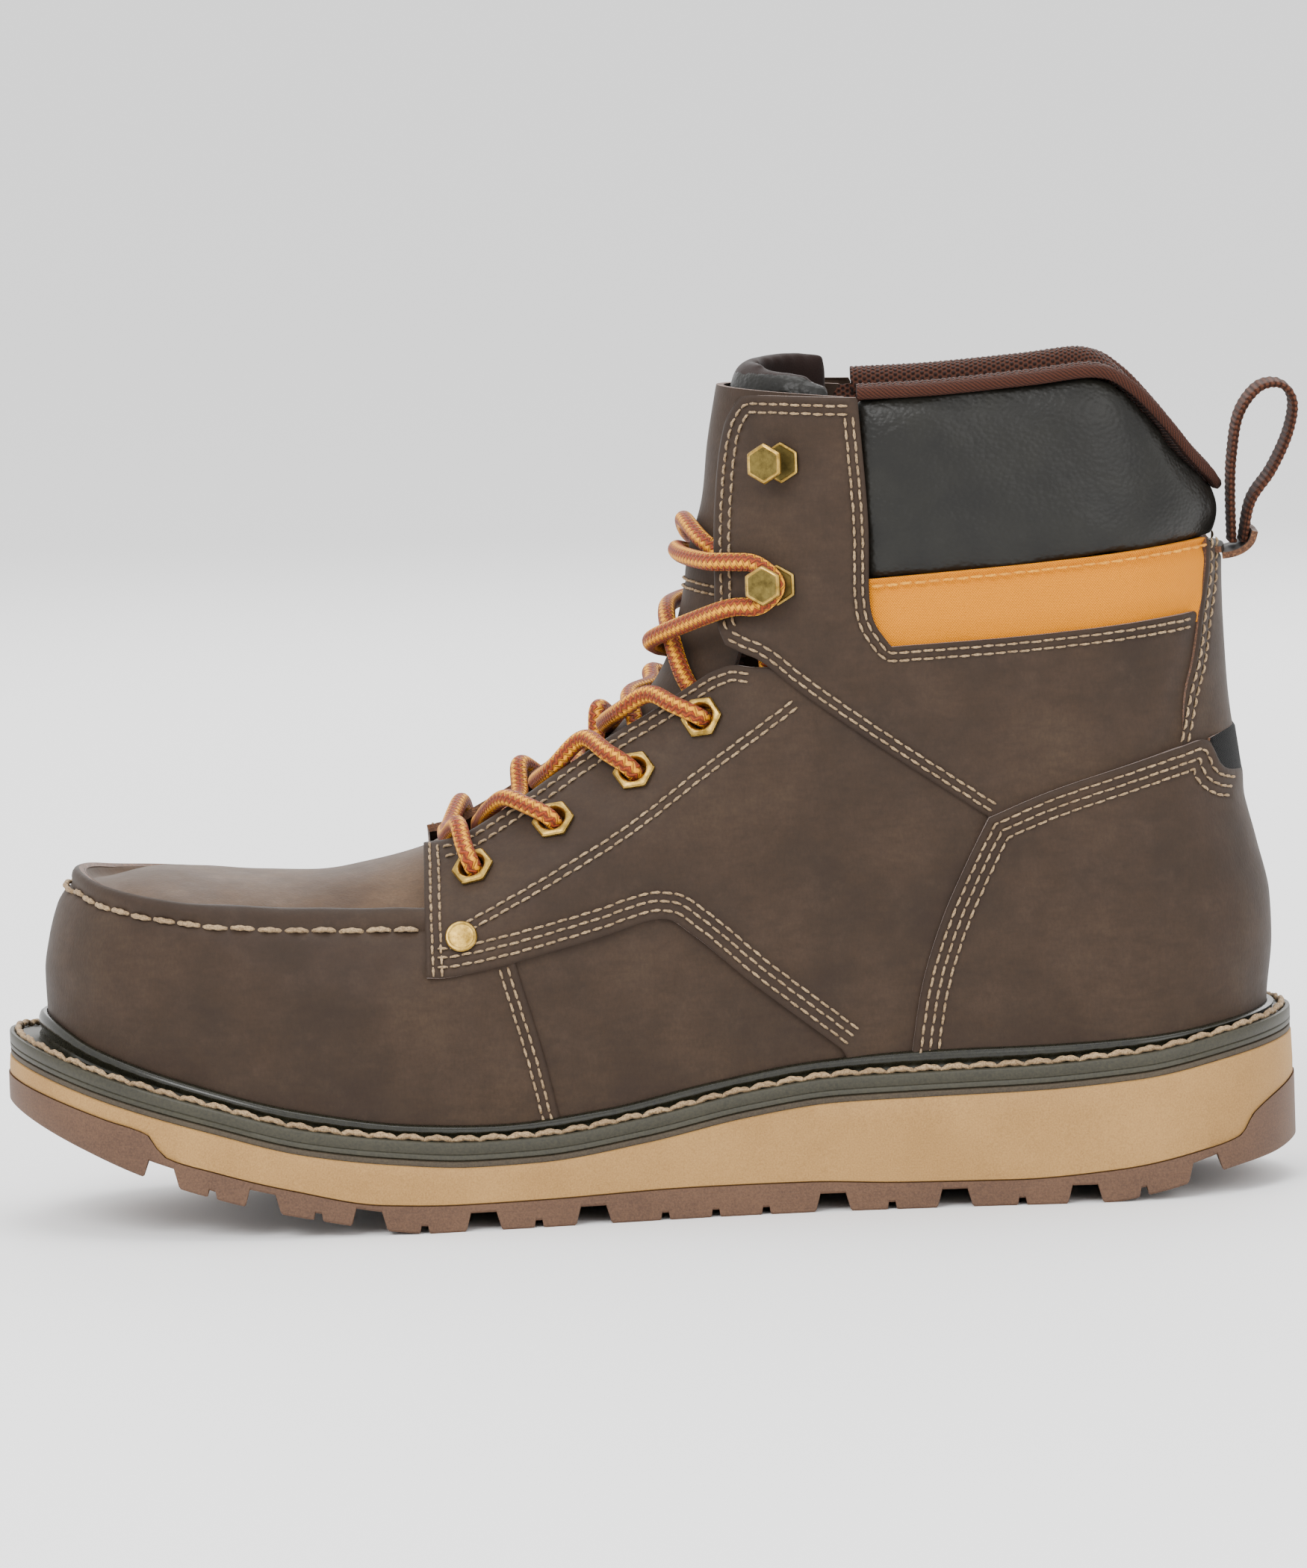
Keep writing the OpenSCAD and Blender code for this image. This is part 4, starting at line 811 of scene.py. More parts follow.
def on_wedge(name, loops, material, ring=False):
    """A layer over the wedge, from loops of (inset, height above the wedge)."""
    return shell(name, [(sole_outline(i), lifted(wedge_line, z)) for i, z in loops], material, ring)


def midsole_strip():
    loops = [(8, 0), (0.9, 0), (0.7, 0.25), (0.7, STRIP_T - 0.25), (1.1, STRIP_T), (8, STRIP_T)]
    piece = on_wedge("midsole_strip_rubber", loops, strip_rubber)
    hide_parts("midsole_strip")


def welt():
    """The plate with its sewing groove, and the rand that stands up round the upper."""
    low, high, groove = STRIP_T + 0.05, STRIP_T + WELT_T, 0.45
    loops = [(9, low), (1.1, low), (0.65, low + 0.3), (0.6, low + 1.2), (0.85, low + 1.45), (0.6, low + 1.7),
        (0.6, high - 0.6), (0.75, high - 0.2), (1.2, high), (1.7, high), (2.0, high - groove),
        (3.3, high - groove), (3.6, high), (9, high)]
    plate = on_wedge("welt_plate", loops, welt_rubber, True)
    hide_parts("welt")

    def between(share):
        return lambda x: mix(plate_z(x), curve(feather_line, x), share)
    profile = [(-2.2, 0), (-2.25, 0.14), (-1.7, 0.26), (-1.75, 0.38), (-2.2, 0.5), (-2.25, 0.7),
        (-1.8, 0.88), (-1.1, 0.98), (-0.3, 1), (0.1, 0.9), (0.2, 0)]
    rand = shell("welt_rand", [(upper_outline(i), between(share)) for i, share in profile], rand_rubber, True)


def welt_seam():
    seam = closed(sole_outline(2.65))
    seam = np.concatenate([seam, seam[:1]])
    line = np.column_stack([seam, plate_z(seam[:, 0]) + 0.3])
    threads = Threads()
    threads.row(line, np.tile([0, 0, 1.0], (len(line), 1)), WELT_PITCH, share=1.06, r=0.74, rise=0.85,
        sink=0.35, sides=16, rings=22)
    piece = threads.piece("welt_seam", thread)
    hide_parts("welt_stitching")


def footbed():
    """A cloth-covered foam bed, cupped at its rim."""
    edges = upper_outline(7.4)
    across = np.linspace(-1, 1, 41)
    x = edges[LATERAL][:, 0][:, None]
    y = mix(edges[MEDIAL][:, 1][:, None], edges[LATERAL][:, 1][:, None], (across + 1) / 2)
    low = plate_z(x) + INSOLE_T + 0.35 + 0 * y
    cup = 2.6 * smooth((np.abs(across) - 0.55) / 0.45) * smooth((x + 20) / 90)
    arch = 3.0 * smooth((-across - 0.35) / 0.6) * np.exp(-((x - 15) / 38) ** 2)
    rolled = 0.9 * (1 - np.minimum((1 - np.abs(across)) / 0.04, 1)) ** 2
    high = low + FOOTBED_T - 1.2 + np.maximum(cup, arch) - rolled
    upper = np.stack([x + 0 * y, y, high], -1)
    lower = np.stack([x + 0 * y, y, low], -1)
    piece = slab("footbed_cover", upper, lower, [footbed_cloth], uv=upper[..., :2])
    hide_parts("footbed")


# ---- Edges of the leather pieces, as [x, z] seen from the side ----
SUNK, ABOVE_WELT = 3, 0.3


def foot_at(x):
    """The lower edge of the upper at places x, sunk behind the rand of the welt."""
    return np.column_stack([x, np.maximum(plate_z(x) + ABOVE_WELT, curve(feather_line, x) - SUNK)])


def foot_edge(a, b):
    return foot_at(np.linspace(a, b, 24))


def round_heel(start, straight_steps, round_steps):
    """Places along the boot from start to the back of the heel, closer together round it."""
    join_x = UPPER_BACK - HEEL_ROUND
    turn = np.linspace(0, math.pi / 2, round_steps)[1:]
    return np.concatenate([np.linspace(start, join_x, straight_steps), join_x + HEEL_ROUND * np.sin(turn)])


quarter_low = [[-55.5, 60], [-50, 60], [-38, 62], [-15, 67.3], [0, 71], [8, 66.5], [22, 54], [42.5, 37.5]]
facing = run([[-55.5, 88.5], [-45, 92], [-29, 101.5], [-14, 111], [1, 120], [14, 128.6]])
facing_top = run([[14, 128.6], [19, 130.4], [23.5, 130]])
vamp_back = run([[-27.7, 21.5], [-32, 41], [-38, 62]])
vamp_edge = run([[-24.6, 21.5], [-28.8, 41], [-34.6, 62.6]])
counter_front = run([[58.5, 34], [62, 53], [67, 68], [73, 81], [79, 92.5]])
counter_top = run([[79, 92.5], [95, 98.5], [114, 104], [124, 106.5]])
counter_back = run([[124, 106.5], [131.5, 107.5], [135, 101], [139.9, 99]])
flap_low = run([[18.4, 135.2], [22.5, 133.2], [27, 131], [36, 123.4], [54, 110], [79, 92.5]])
flap_front = run([[18.4, 135.2], [15.9, 143], [16.2, 162], [17.4, 176], [19.5, 187], [22, 192]])
flap_top = run([[22, 192], [26, 194.2], [51, 193.4]])
box_front = run([[51, 193.4], [52.6, 165], [52.6, 143], [57, 134]])
insert_low = run([[57, 134], [90, 135.4], [128.5, 138.4]])
stay_front = run([[124, 106.5], [126, 117], [129, 128], [132, 145], [133, 155.8]])
collar_low = run([[52.6, 150.2], [93, 152.6], [133, 155.8]])
collar_back_low = run([[133, 155.8], [136, 156.4], [138, 157]])
top_line = run([[51, 193.4], [70, 193.8], [92, 195.3], [108, 196.5], [116, 192.5], [124, 184], [131, 175],
    [136, 169.5]])
collar_back_top = run([[136, 169.5], [137.2, 167.6], [138, 166.6]])
eyelet_places = [[-43.6, 84.2], [-24.2, 94.6], [-4.6, 105.6], [12, 118]]
hook_places = [[31, 149.4], [33, 178.4]]
stud_place = [-47, 69]
LEATHER_T, COLLAR_T, STIFFENER_T, LINING_T = 2.0, 9.0, 1.4, 0.8
EYELET_HOLE, EYELET_ACROSS, HOOK_ACROSS, STUD_D = 5.6, 10.6, 9.8, 7.6
ROW_PITCH, MOC_PITCH, WELT_PITCH, INSERT_PITCH = 2.9, 6.5, 6.6, 3.4
RIDGE_FRONT, GROOVE_BELOW = -138.7, 4.7


def height_of(where, base, lifts):
    """How far a panel stands off the skin: its base, and more or less near some lines."""
    def height(p):
        h = base + 0.2 * ripple(place(where, p), 8)
        for line, up, reach in lifts:
            h = h + up * (1 - smooth(away(p, line) / reach))
        return h
    return height


def panel(name, node, where, edges, base, lifts, rows=(), threads=None, material=leather, step=1.2,
        thick=1.9, holes=(), shape=None):
    """A leather piece between four edges, in the coordinates of a map. rows are lines of stitches."""
    g = coons(*edges, step)
    height = height_of(where, base, lifts)
    h = height(g) + (shape(where, g) if shape else 0)
    rim = np.min([away(g, e) for e in edges], axis=0)
    # The rim float darkens the leather near its edges.
    wear_and_groove_shade = np.exp(-(rim / 1.4) ** 2)
    h = h - 0.5 * (1 - np.minimum(rim / 0.9, 1)) ** 2
    for line in rows:
        near = away(g, line)
        h = h - 0.32 * np.exp(-(near / 0.75) ** 2)
        # Painted shade in the groove that each stitch row presses into the leather.
        wear_and_groove_shade = np.maximum(wear_and_groove_shade, 0.8 * np.exp(-(near / 0.7) ** 2))
    gone = None
    if len(holes):
        centres = [place(where, onto(where, np.array([e], float)))[0] for e in holes]
        far = np.min([np.linalg.norm(place(where, g) - c, axis=-1) for c in centres], axis=0)
        gone = far < EYELET_HOLE / 2 + 0.5
    piece = sheet(name, where, g, h, h - thick, [material, raw_edge], holes=gone, uv=g, floats={"rim": wear_and_groove_shade})
    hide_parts(node)
    for line in rows:
        p = along(line, np.linspace(0, 1, max(4, int(length(line) / 1.2))))
        level = height(p) + (shape(where, p) if shape else 0)
        threads.row(raised(where, p, level), outward(where, p), ROW_PITCH)


def both_ways(where, line):
    """A line right round an end, from the inner side of the foot to the outer one."""
    a, b = onto(where, line, MEDIAL), onto(where, line, LATERAL)
    return join(a, b[::-1]) if where == "heel" else join(a[::-1], b)


def round_end(where, low, top, edge):
    """The four edges of a piece right round an end, the same on both sides of the foot."""
    return (both_ways(where, low), both_ways(where, top), onto(where, edge, MEDIAL),
        onto(where, edge, LATERAL))


def twice(where, lines):
    """Lines seen from the side, on the inner side of the foot and then on the outer one."""
    return [onto(where, line, side) for side in (MEDIAL, LATERAL) for line in lines]


def stood_off(where, *lifts):
    """What lifts a panel along lines seen from the side, on both sides of the foot."""
    return [(onto(where, line, side), up, reach) for side in (MEDIAL, LATERAL) for line, up, reach in lifts]


def ridge_shape(where, p):
    """The raised seam round the toe, and the groove that its thread lies in."""
    x = place(where, p)[..., 0]
    below = curve(ridge_line, x) - p[..., 1]
    bead = 1.0 * np.exp(-((below - 1.5) / 2.1) ** 2) - 0.9 * np.exp(-((below - GROOVE_BELOW) / 0.85) ** 2)
    return bead * smooth((-50 - x) / 4)


def vamp(threads):
    back, corner = -51.5, [-34.2, 66.5]
    x = mix(RIDGE_FRONT, back, np.linspace(0, 1, 70) ** 1.25)
    top = join(np.column_stack([x, curve(ridge_line, x)]), straight([[back, 75.8], [back, 65], corner]))
    turn = np.linspace(0, math.pi / 2, 30)
    join_x = UPPER_FRONT + TOE_ROUND
    low = foot_at(np.concatenate([UPPER_FRONT + TOE_ROUND * (1 - np.cos(turn)),
        np.linspace(join_x, -24.6, 30)[1:]]))
    back_edge = join(vamp_edge, straight([vamp_edge[-1], corner]))
    under_quarter = straight([[-55.5, 78], [-55.5, 60], [-38, 62]])
    lifts = stood_off("toe", (vamp_edge, 0.75, 6), (under_quarter, -0.25, 5))
    rows = twice("toe", [beside(vamp_edge, off) for off in (2.0, 3.9)])
    panel("vamp_leather", "vamp", "toe", round_end("toe", low, top, back_edge), 0.1, lifts, rows, threads,
        shape=ridge_shape)


def moc_seam():
    """Long heavy stitches under the ridge, right round the toe."""
    threads = Threads()
    x = mix(RIDGE_FRONT, -57, np.linspace(0, 1, 90) ** 1.3)
    line = both_ways("toe", np.column_stack([x, curve(ridge_line, x) - GROOVE_BELOW]))
    p = along(line, np.linspace(0, 1, 260))
    level = 0.1 + ridge_shape("toe", p) + 0.35
    threads.row(raised("toe", p, level), outward("toe", p), MOC_PITCH, share=0.9, r=0.64, rise=0.75,
        sink=0.15, sides=10, rings=14)
    piece = threads.piece("moc_seam", thread)
    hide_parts("moc_seam_thread")


def apron():
    """The top of the toe: it turns up to the ridge at its edge and crowns along the middle."""
    x = mix(RIDGE_FRONT, -49, np.linspace(0, 1, 80) ** 1.2)
    ridge = both_ways("toe", np.column_stack([x, curve(ridge_line, x)]))
    edge = along(ridge, np.linspace(0, 1, 230))
    rim = raised("toe", edge, 0.1 + ridge_shape("toe", edge) - 1.9)
    spine_x = np.clip(rim[:, 0] + 8, -112, -49)
    middle = curve(middle_y, spine_x)
    share = np.concatenate([[0, 0.012, 0.03, 0.05, 0.075, 0.105], np.linspace(0.14, 1, 34)])
    rows = []
    for s in share:
        x = mix(rim[:, 0], spine_x, s)
        y = mix(rim[:, 1], middle, s)
        valley = 2.3 * smooth(s / 0.075)
        crown = np.maximum(curve(crown_line, x) - curve(ridge_line, x) + 2.3, 2.4)
        domed = 1 - (1 - np.clip((s - 0.04) / 0.96, 0, 1)) ** 2.2
        z = curve(ridge_line, x) - 0.25 - valley + (crown + 0.2) * domed
        rows.append(np.column_stack([x, y, z]))
    g = np.array(rows)
    g[..., 2] += 0.18 * ripple(g, 10)
    n = unit(np.cross(np.gradient(g, axis=1), np.gradient(g, axis=0)))
    n = n * np.where(n[..., 2:] < 0, -1, 1)
    # Painted shade where the apron's edge dips into the valley under the ridge.
    wear_and_groove_shade = np.tile(np.exp(-(share / 0.06) ** 2)[:, None], (1, g.shape[1]))
    piece = slab("apron_leather", g, g - n * 1.7, [leather_lit_top, raw_edge], floats={"rim": wear_and_groove_shade})
    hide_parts("moc_apron")


def side_panel(name, side, threads):
    low = foot_edge(-30, 44)
    top = straight([[-38, 65], [-15, 70.5], [0, 74], [10, 69.5], [24, 57], [45, 40]])
    edges = [onto(side, e) for e in (low, top, run([[-30.5, 21.5], [-35, 41], [-40, 65]]),
        straight([[44, 35], [45, 40]]))]
    lifts = [(onto(side, vamp_back), -0.7, 7), (onto(side, run(quarter_low[1:])), -0.5, 7)]
    panel("side_panel_leather_" + name, "side_panel_" + name, side, edges, 0.1, lifts, (), threads)


def quarter(name, side, threads):
    front = straight([[-55.5, 60], [-55.5, 88.5]])
    low_edge = run(quarter_low)
    low = join(low_edge, straight([[42.5, 37.5], [43.5, 35.2]]), foot_edge(43.5, 61.5))
    under_shaft = np.array([[23.5, 130], [33, 130], [54, 114.5], [83, 96]])
    top = join(facing, facing_top, under_shaft)
    back = run([[61.5, 35], [65.5, 53], [70.5, 68], [76.5, 81], [83, 96]])
    edges = [onto(side, e) for e in (low, top, front, back)]
    shaft_low = flap_low[flap_low[:, 0] > 26]
    lifts = [(onto(side, front), 0.75, 7), (onto(side, low_edge), 0.75, 8), (onto(side, shaft_low), -0.65, 9),
        (onto(side, counter_front), -0.6, 8)]
    rows = [beside(front, -off) for off in (1.6, 3.6)]
    rows += [beside(low_edge[6:], off) for off in (2.4, 4.6, 6.6)]
    rows += [beside(join(facing, facing_top)[5:], -off) for off in (1.6, 3.5)]
    decorative = run([[-49, 70.6], [-26.1, 82.4], [-6.9, 93.3], [12.4, 107], [24, 115.2], [33.5, 122]])
    rows += [decorative, beside(decorative, -1.9)]
    rows = [onto(side, line) for line in rows]
    panel("quarter_leather_" + name, "quarter_" + name, side, edges, 0.55, lifts, rows, threads,
        holes=eyelet_places)


def shaft(name, side, threads):
    under_counter = run([[79, 92.5], [82, 90], [95, 94.5], [114, 100], [127, 102.5]])
    low = join(flap_low, under_counter)
    top = join(flap_top, box_front, insert_low)
    under_stay = run([[127, 102.5], [129.5, 117], [132.5, 128], [134.5, 139]])
    top = join(top, straight([[128.5, 138.4], [134.5, 139]]))
    edges = [onto(side, e) for e in (low, top, flap_front, under_stay)]
    lifts = [(onto(side, flap_low), 0.75, 8), (onto(side, counter_top), -0.75, 8),
        (onto(side, stay_front), -0.6, 7), (onto(side, box_front), 0.5, 6), (onto(side, insert_low), 0.5, 6)]
    rows = [beside(flap_low, off) for off in (1.6, 3.5)]
    rows += [beside(join(flap_front, flap_top), -off)[4:-3] for off in (2.0, 4.0)]
    rows += [beside(join(box_front, insert_low), -off)[6:] for off in (1.5, 3.4)]
    rows = [onto(side, line) for line in rows]
    panel("shaft_leather_" + name, "shaft_" + name, side, edges, 0.6, lifts, rows, threads)


def counter(threads):
    edge = join(counter_front, counter_top, counter_back)
    top = join(counter_top, counter_back)
    lifts = stood_off("heel", (counter_front, 0.8, 8), (top, 0.8, 8))
    rows = twice("heel", [beside(edge, -off)[2:-2] for off in (2.0, 4.1, 6.2)])
    edges = round_end("heel", foot_at(round_heel(58.5, 20, 24)), top, counter_front)
    panel("counter_leather", "heel_counter", "heel", edges, 0.6, lifts, rows, threads)


def back_stay(threads):
    low = run([[126, 102], [132, 103.5], [139.4, 104]])
    top = run([[133, 155.8], [136, 153], [137.5, 150.5]])
    front = run([[126, 102], [126.5, 117], [129, 128], [132, 145], [133, 155.8]])
    under_counter = join(run([[124, 106.5], [131.5, 107.5]]), counter_back)
    lifts = stood_off("heel", (stay_front, 0.6, 6), (under_counter, -0.75, 7))
    rows = twice("heel", [beside(stay_front, -off)[2:] for off in (1.3, 3.1)])
    panel("back_stay_leather", "back_stay", "heel", round_end("heel", low, top, front), 0.6, lifts, rows,
        threads, step=1.0)


def heel_tag():
    low = run([[131.6, 104], [135.0, 99.6], [139.8, 97.4]])
    top = run([[132.5, 107.9], [136, 109.0], [139.4, 109.8]])
    edges = round_end("heel", low, top, straight([low[0], top[0]]))
    panel("blank_heel_tag", "heel_tag", "heel", edges, 1.15, [], material=black_cloth, thick=0.8, step=0.9)


def inserts(name, side):
    """Yellow cloth between collar and shaft, with its own row of thread along the top."""
    low = join(run([[50.6, 143], [52, 136], [56, 131.5]]), run([[56, 131.5], [90, 132.6], [131, 136]]))
    top = join(run([[50.6, 146], [50.6, 150.4]]), collar_low)
    edges = [onto(side, e) for e in (low, top, straight([[50.6, 143], [50.6, 146]]),
        straight([[131, 136], [133, 155.8]]))]
    g = coons(*edges, 1.1)
    d = np.min([away(g, onto(side, e)) for e in (collar_low, insert_low, box_front)], axis=0)
    h = -0.7 + 1.3 * smooth(d / 6) + 0.12 * ripple(place(side, g), 5)
    h = h + 0.9 * (1 - smooth(away(g, onto(side, collar_low)) / 2.5))
    row = onto(side, beside(collar_low, -1.7))
    h = h - 0.3 * np.exp(-(away(g, row) / 0.8) ** 2)
    piece = sheet("insert_twill_" + name, side, g, h, h - 1.3, [twill], uv=g)
    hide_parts("insert_" + name)
    threads = Threads()
    p = along(row, np.linspace(0, 1, 70))
    threads.row(raised(side, p, 0.75), outward(side, p), INSERT_PITCH, share=0.86, r=0.36, rise=0.45)
    piece = threads.piece("insert_seam_" + name, thread_yellow)


# ---- Padding ----
def points(items, key="co"):
    """Where the points or faces of a mesh are, in millimetres."""
    v = np.empty(len(items) * 3, np.float32)
    items.foreach_get(key, v)
    return v.reshape(-1, 3).astype(float) / MM


def move_points(piece, p):
    piece.data.vertices.foreach_set("co", (p * MM).astype(np.float32).ravel())


def evaluated(piece):
    """The points of the piece with its modifiers."""
    return points(piece.evaluated_get(bpy.context.evaluated_depsgraph_get()).data.vertices)


def settle(piece):
    """Turns the piece's modifiers into its mesh."""
    mesh = bpy.data.meshes.new_from_object(piece.evaluated_get(bpy.context.evaluated_depsgraph_get()))
    piece.modifiers.clear()
    piece.data = mesh


def swell(piece, voxel, limit):
    """Fills a pad by cloth simulation: its cover blows up from inside, no further than limit."""
    remesh = piece.modifiers.new("remesh", "REMESH")
    remesh.mode = "VOXEL"
    remesh.voxel_size = voxel * MM
    settle(piece)
    before = evaluated(piece)
    cloth = piece.modifiers.new("cloth", "CLOTH")
    cloth.settings.quality = 6
    cloth.settings.mass = 0.15
    cloth.settings.tension_stiffness = 12
    cloth.settings.compression_stiffness = 12
    cloth.settings.bending_stiffness = 0.4
    cloth.settings.use_pressure = True
    cloth.settings.uniform_pressure_force = 4
    cloth.settings.effector_weights.gravity = 0
    cloth.point_cache.frame_start, cloth.point_cache.frame_end = 1, 20
    scene = bpy.context.scene
    for step in range(1, 21):
        scene.frame_set(step)
        bpy.context.view_layer.update()
    move = evaluated(piece) - before
    far = np.linalg.norm(move, axis=1, keepdims=True)
    move = move * np.minimum(1, limit / np.maximum(far, 1e-6))
    piece.modifiers.clear()
    scene.frame_set(1)
    move_points(piece, before + move)
    even = piece.modifiers.new("even", "SMOOTH")
    even.factor, even.iterations = 0.5, 3
    finer = piece.modifiers.new("finer", "SUBSURF")
    finer.levels = 2
    settle(piece)
    piece.data.shade_smooth()


def two_faced(piece, outer, inner, inside):
    """Gives each face of a pad its cloth. inside says of points whether they face the foot."""
    piece.data.materials.clear()
    piece.data.materials.append(outer)
    piece.data.materials.append(inner)
    sort = inside(points(piece.data.polygons, "center"))
    piece.data.polygons.foreach_set("material_index", sort.astype(np.int32))


def on_map(p):
    """The places of a side's map that points lie at."""
    x, z = p[:, 0], p[:, 2]
    return np.stack([unrolled(np.minimum(x, heel_join(z) + HEEL_ROUND), z), z], -1)


def depth_below(side, p):
    """How far points lie below the skin, measured square to it."""
    q = on_map(p)
    return np.sum((place(side, q) - p) * outward(side, q), -1)


def collar(name, side):
    """Foam in a vinyl cover, from under the shaft's edge round to the middle of the heel."""
    start = straight([[49.8, 147.4], [48.6, 194.6]])
    low = join(straight([[49.8, 147.4], [52.6, 147.4]]), collar_low - [0, 2.8], collar_back_low - [0, 1.5])
    top = join(straight([[48.6, 194.6], [51, 194.8]]), top_line + [0, 1.5], collar_back_top + [0, 1])
    edges = [onto(side, e) for e in (low, top, start, straight([[138, 155.5], [138, 167.6]]))]
    g = coons(*edges, 2.2, fine=False)
    edge = np.minimum(away(g, edges[0]), np.minimum(away(g, edges[1]), away(g, edges[2])))
    puff = smooth(edge / 9)
    high, low = mix(-1.9, 0.5, puff), -mix(5.6, COLLAR_T - 2.2, puff)
    piece = sheet("collar_pad_" + name, side, g, high, low, [vinyl])
    swell(piece, 3.0, 1.7)
    two_faced(piece, vinyl, mesh_cloth, lambda p: depth_below(side, p) > 4.4)
    creases(piece, side)
    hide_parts("collar_" + name)


def creases(piece, side):
    """Soft creases in the vinyl, and its tension along the lower seam."""
    p = points(piece.data.vertices)
    n = outward(side, on_map(p))
    x, z = p[:, 0], p[:, 2]
    fold = np.sin(x / 5.5 + 1.7 * np.sin(z / 13)) * smooth((z - 176) / 14) * 0.28
    tuck = np.sin(x / 2.6 + np.sin(x / 9)) * (1 - smooth((z - 152) / 9)) * 0.22
    p = p + n * (fold + tuck + 0.15 * ripple(p, 6))[:, None]
    move_points(piece, p)


def binding():
    """Knitted tape along the collar's outer edge, and the mesh that rolls over the rest of its top."""
    line = join(top_line, collar_back_top)
    paths, outs, ups = [], [], []
    for side in (MEDIAL, LATERAL):
        q = along(onto(side, line), np.linspace(0, 1, 230))
        n, p = outward(side, q), place(side, q)
        up = np.cross(unit(np.gradient(p, axis=0)), n)
        paths.append(p)
        outs.append(n)
        ups.append(unit(up * np.where(up[:, 2:] < 0, -1, 1) + [0, 0, 0.6]))
    ends = [np.concatenate([v[0], v[1][-2::-1]]) for v in (paths, outs, ups)]
    path, out, up = (v[:, None] for v in ends)
    d = np.concatenate([[0], np.cumsum(np.linalg.norm(np.diff(ends[0], axis=0), axis=1))])
    bumpy = (1 + 0.05 * np.sin(d * 2 * math.pi / 1.3))[:, None, None]
    tape = [[0.4, -0.6], [-0.2, -0.2], [-0.6, 0.5], [-0.5, 1.4], [0, 2.1], [0.8, 2.5], [1.7, 2.5], [2.5, 2.1],
        [2.9, 1.3], [2.6, 0.5], [1.6, -0.3]]
    roll = [[2.4, 0.2], [2.7, 1.5], [3.6, 2.5], [4.9, 3.0], [6.3, 2.9], [7.6, 2.2], [8.5, 1.0], [8.9, -0.8],
        [8.8, -3.2], [8.0, -3.4], [7.6, -1.6], [6.4, -0.1], [4.4, 0.1]]
    for name, profile, look in (("collar_tape", tape, knit), ("collar_roll", roll, mesh_cloth)):
        around = np.array(profile)[None]
        verts = path - out * around[..., :1] + up * around[..., 1:] * bumpy
        m, n = verts.shape[:2]
        faces = quads(m, n, wrap=True) + caps(m, n)
        uv = np.stack(np.broadcast_arrays(d[:, None], np.linspace(0, 20, n)[None]), -1).reshape(-1, 2)
        piece = solid(name, verts.reshape(-1, 3), faces, [look], uv=uv, sharp=80)
        if look == knit:
            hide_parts("collar_binding")


lining_top = run([[36, 191], [54, 192.6], [92, 194.6], [108, 195.8], [116, 191.6], [124, 183.4], [131, 174.2],
    [138, 165.6]])


def lining():
    """Spacer mesh from the footbed to the top of the collar, puffed over the collar's foam."""
    x = round_heel(36, 24, 22)
    low = np.column_stack([x, plate_z(x) + INSOLE_T + 0.6])
    g = coons(*round_end("heel", low, lining_top, straight([low[0], lining_top[0]])), 1.8, fine=False)
    padded = smooth((g[..., 1] - 128) / 20)
    rolled = 1 - smooth(np.min([away(g, top) for top in twice("heel", [lining_top])], axis=0) / 7)
    deep = mix(LEATHER_T + STIFFENER_T + 1.3, COLLAR_T - 0.1, padded) - 2.2 * rolled * padded
    piece = sheet("lining_mesh", "heel", g, -deep, -deep - LINING_T, [mesh_cloth], uv=g)
    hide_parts("lining")


# ---- Tongue: arches square to its middle line ----
tongue_line = np.array([[-54, 84.5], [-46, 87], [-37, 91.5], [-27, 98.4], [-16, 106.5], [-6, 115.8],
    [3.5, 128.5], [7.5, 141], [10, 154], [13.5, 167], [15.8, 182], [18, 194], [20, 201]])
tongue_w = [[0, 22], [3, 29], [5, 27.6], [9, 26.5], [12, 25]]
tongue_r = [[0, 11], [3, 24], [6, 35], [9, 37], [12, 38]]
tongue_turn = [[0, 55], [3, 52], [7, 56], [10, 70], [12, 84]]
TONGUE_T, TONGUE_FOAM_T = 1.6, 4.5
TONGUE_SEAM, PAD_FROM, LEATHER_TO = 7.55, 10.6, 11.15


def spline_at(p, s):
    i = np.minimum(np.floor(s).astype(int), len(p) - 2)
    t = (s - i)[..., None]
    a, b = p[i], p[i + 1]
    before = np.where((i == 0)[..., None], 2 * a - b, p[np.maximum(i - 1, 0)])
    after = np.where((i == len(p) - 2)[..., None], 2 * b - a, p[np.minimum(i + 2, len(p) - 1)])
    return bend(before, a, b, after, t)


def on_tongue(s, turn, t=0.0):
    """A place on the tongue: steps up its line, degrees round its arch, and how far it stands off."""
    s, turn = np.broadcast_arrays(np.asarray(s, float), np.radians(np.asarray(turn, float)))
    c = spline_at(tongue_line, s)
    d = unit(spline_at(tongue_line, np.minimum(s + 0.1, 12)) - spline_at(tongue_line, np.maximum(s - 0.1, 0)))
    level = 1 - 0.85 * smooth((s - 9.6) / 2.2)
    inward = unit(np.stack([d[..., 1], -d[..., 0] * level], -1))
    w, r = curve(tongue_w, s), curve(tongue_r, s)
    k = np.hypot(np.cos(turn) * w, np.sin(turn) * r)
    p = c + inward * (r * (1 - np.cos(turn)) - t * np.cos(turn) * w / k)[..., None]
    return np.stack([p[..., 0], w * np.sin(turn) + t * np.sin(turn) * r / k, p[..., 1]], -1)


def tongue_grid(start, end, share, t):
    """Places on the tongue from step to step, over a share of its arch, with their map."""
    s = np.linspace(start, end, int((end - start) / 0.09) + 2)[:, None]
    j = np.linspace(-1, 1, 56)[None]
    uv = np.stack(np.broadcast_arrays(j * 30, s * 13), -1)
    return on_tongue(s + 0 * j, curve(tongue_turn, s) * share * j, t), s, j, uv


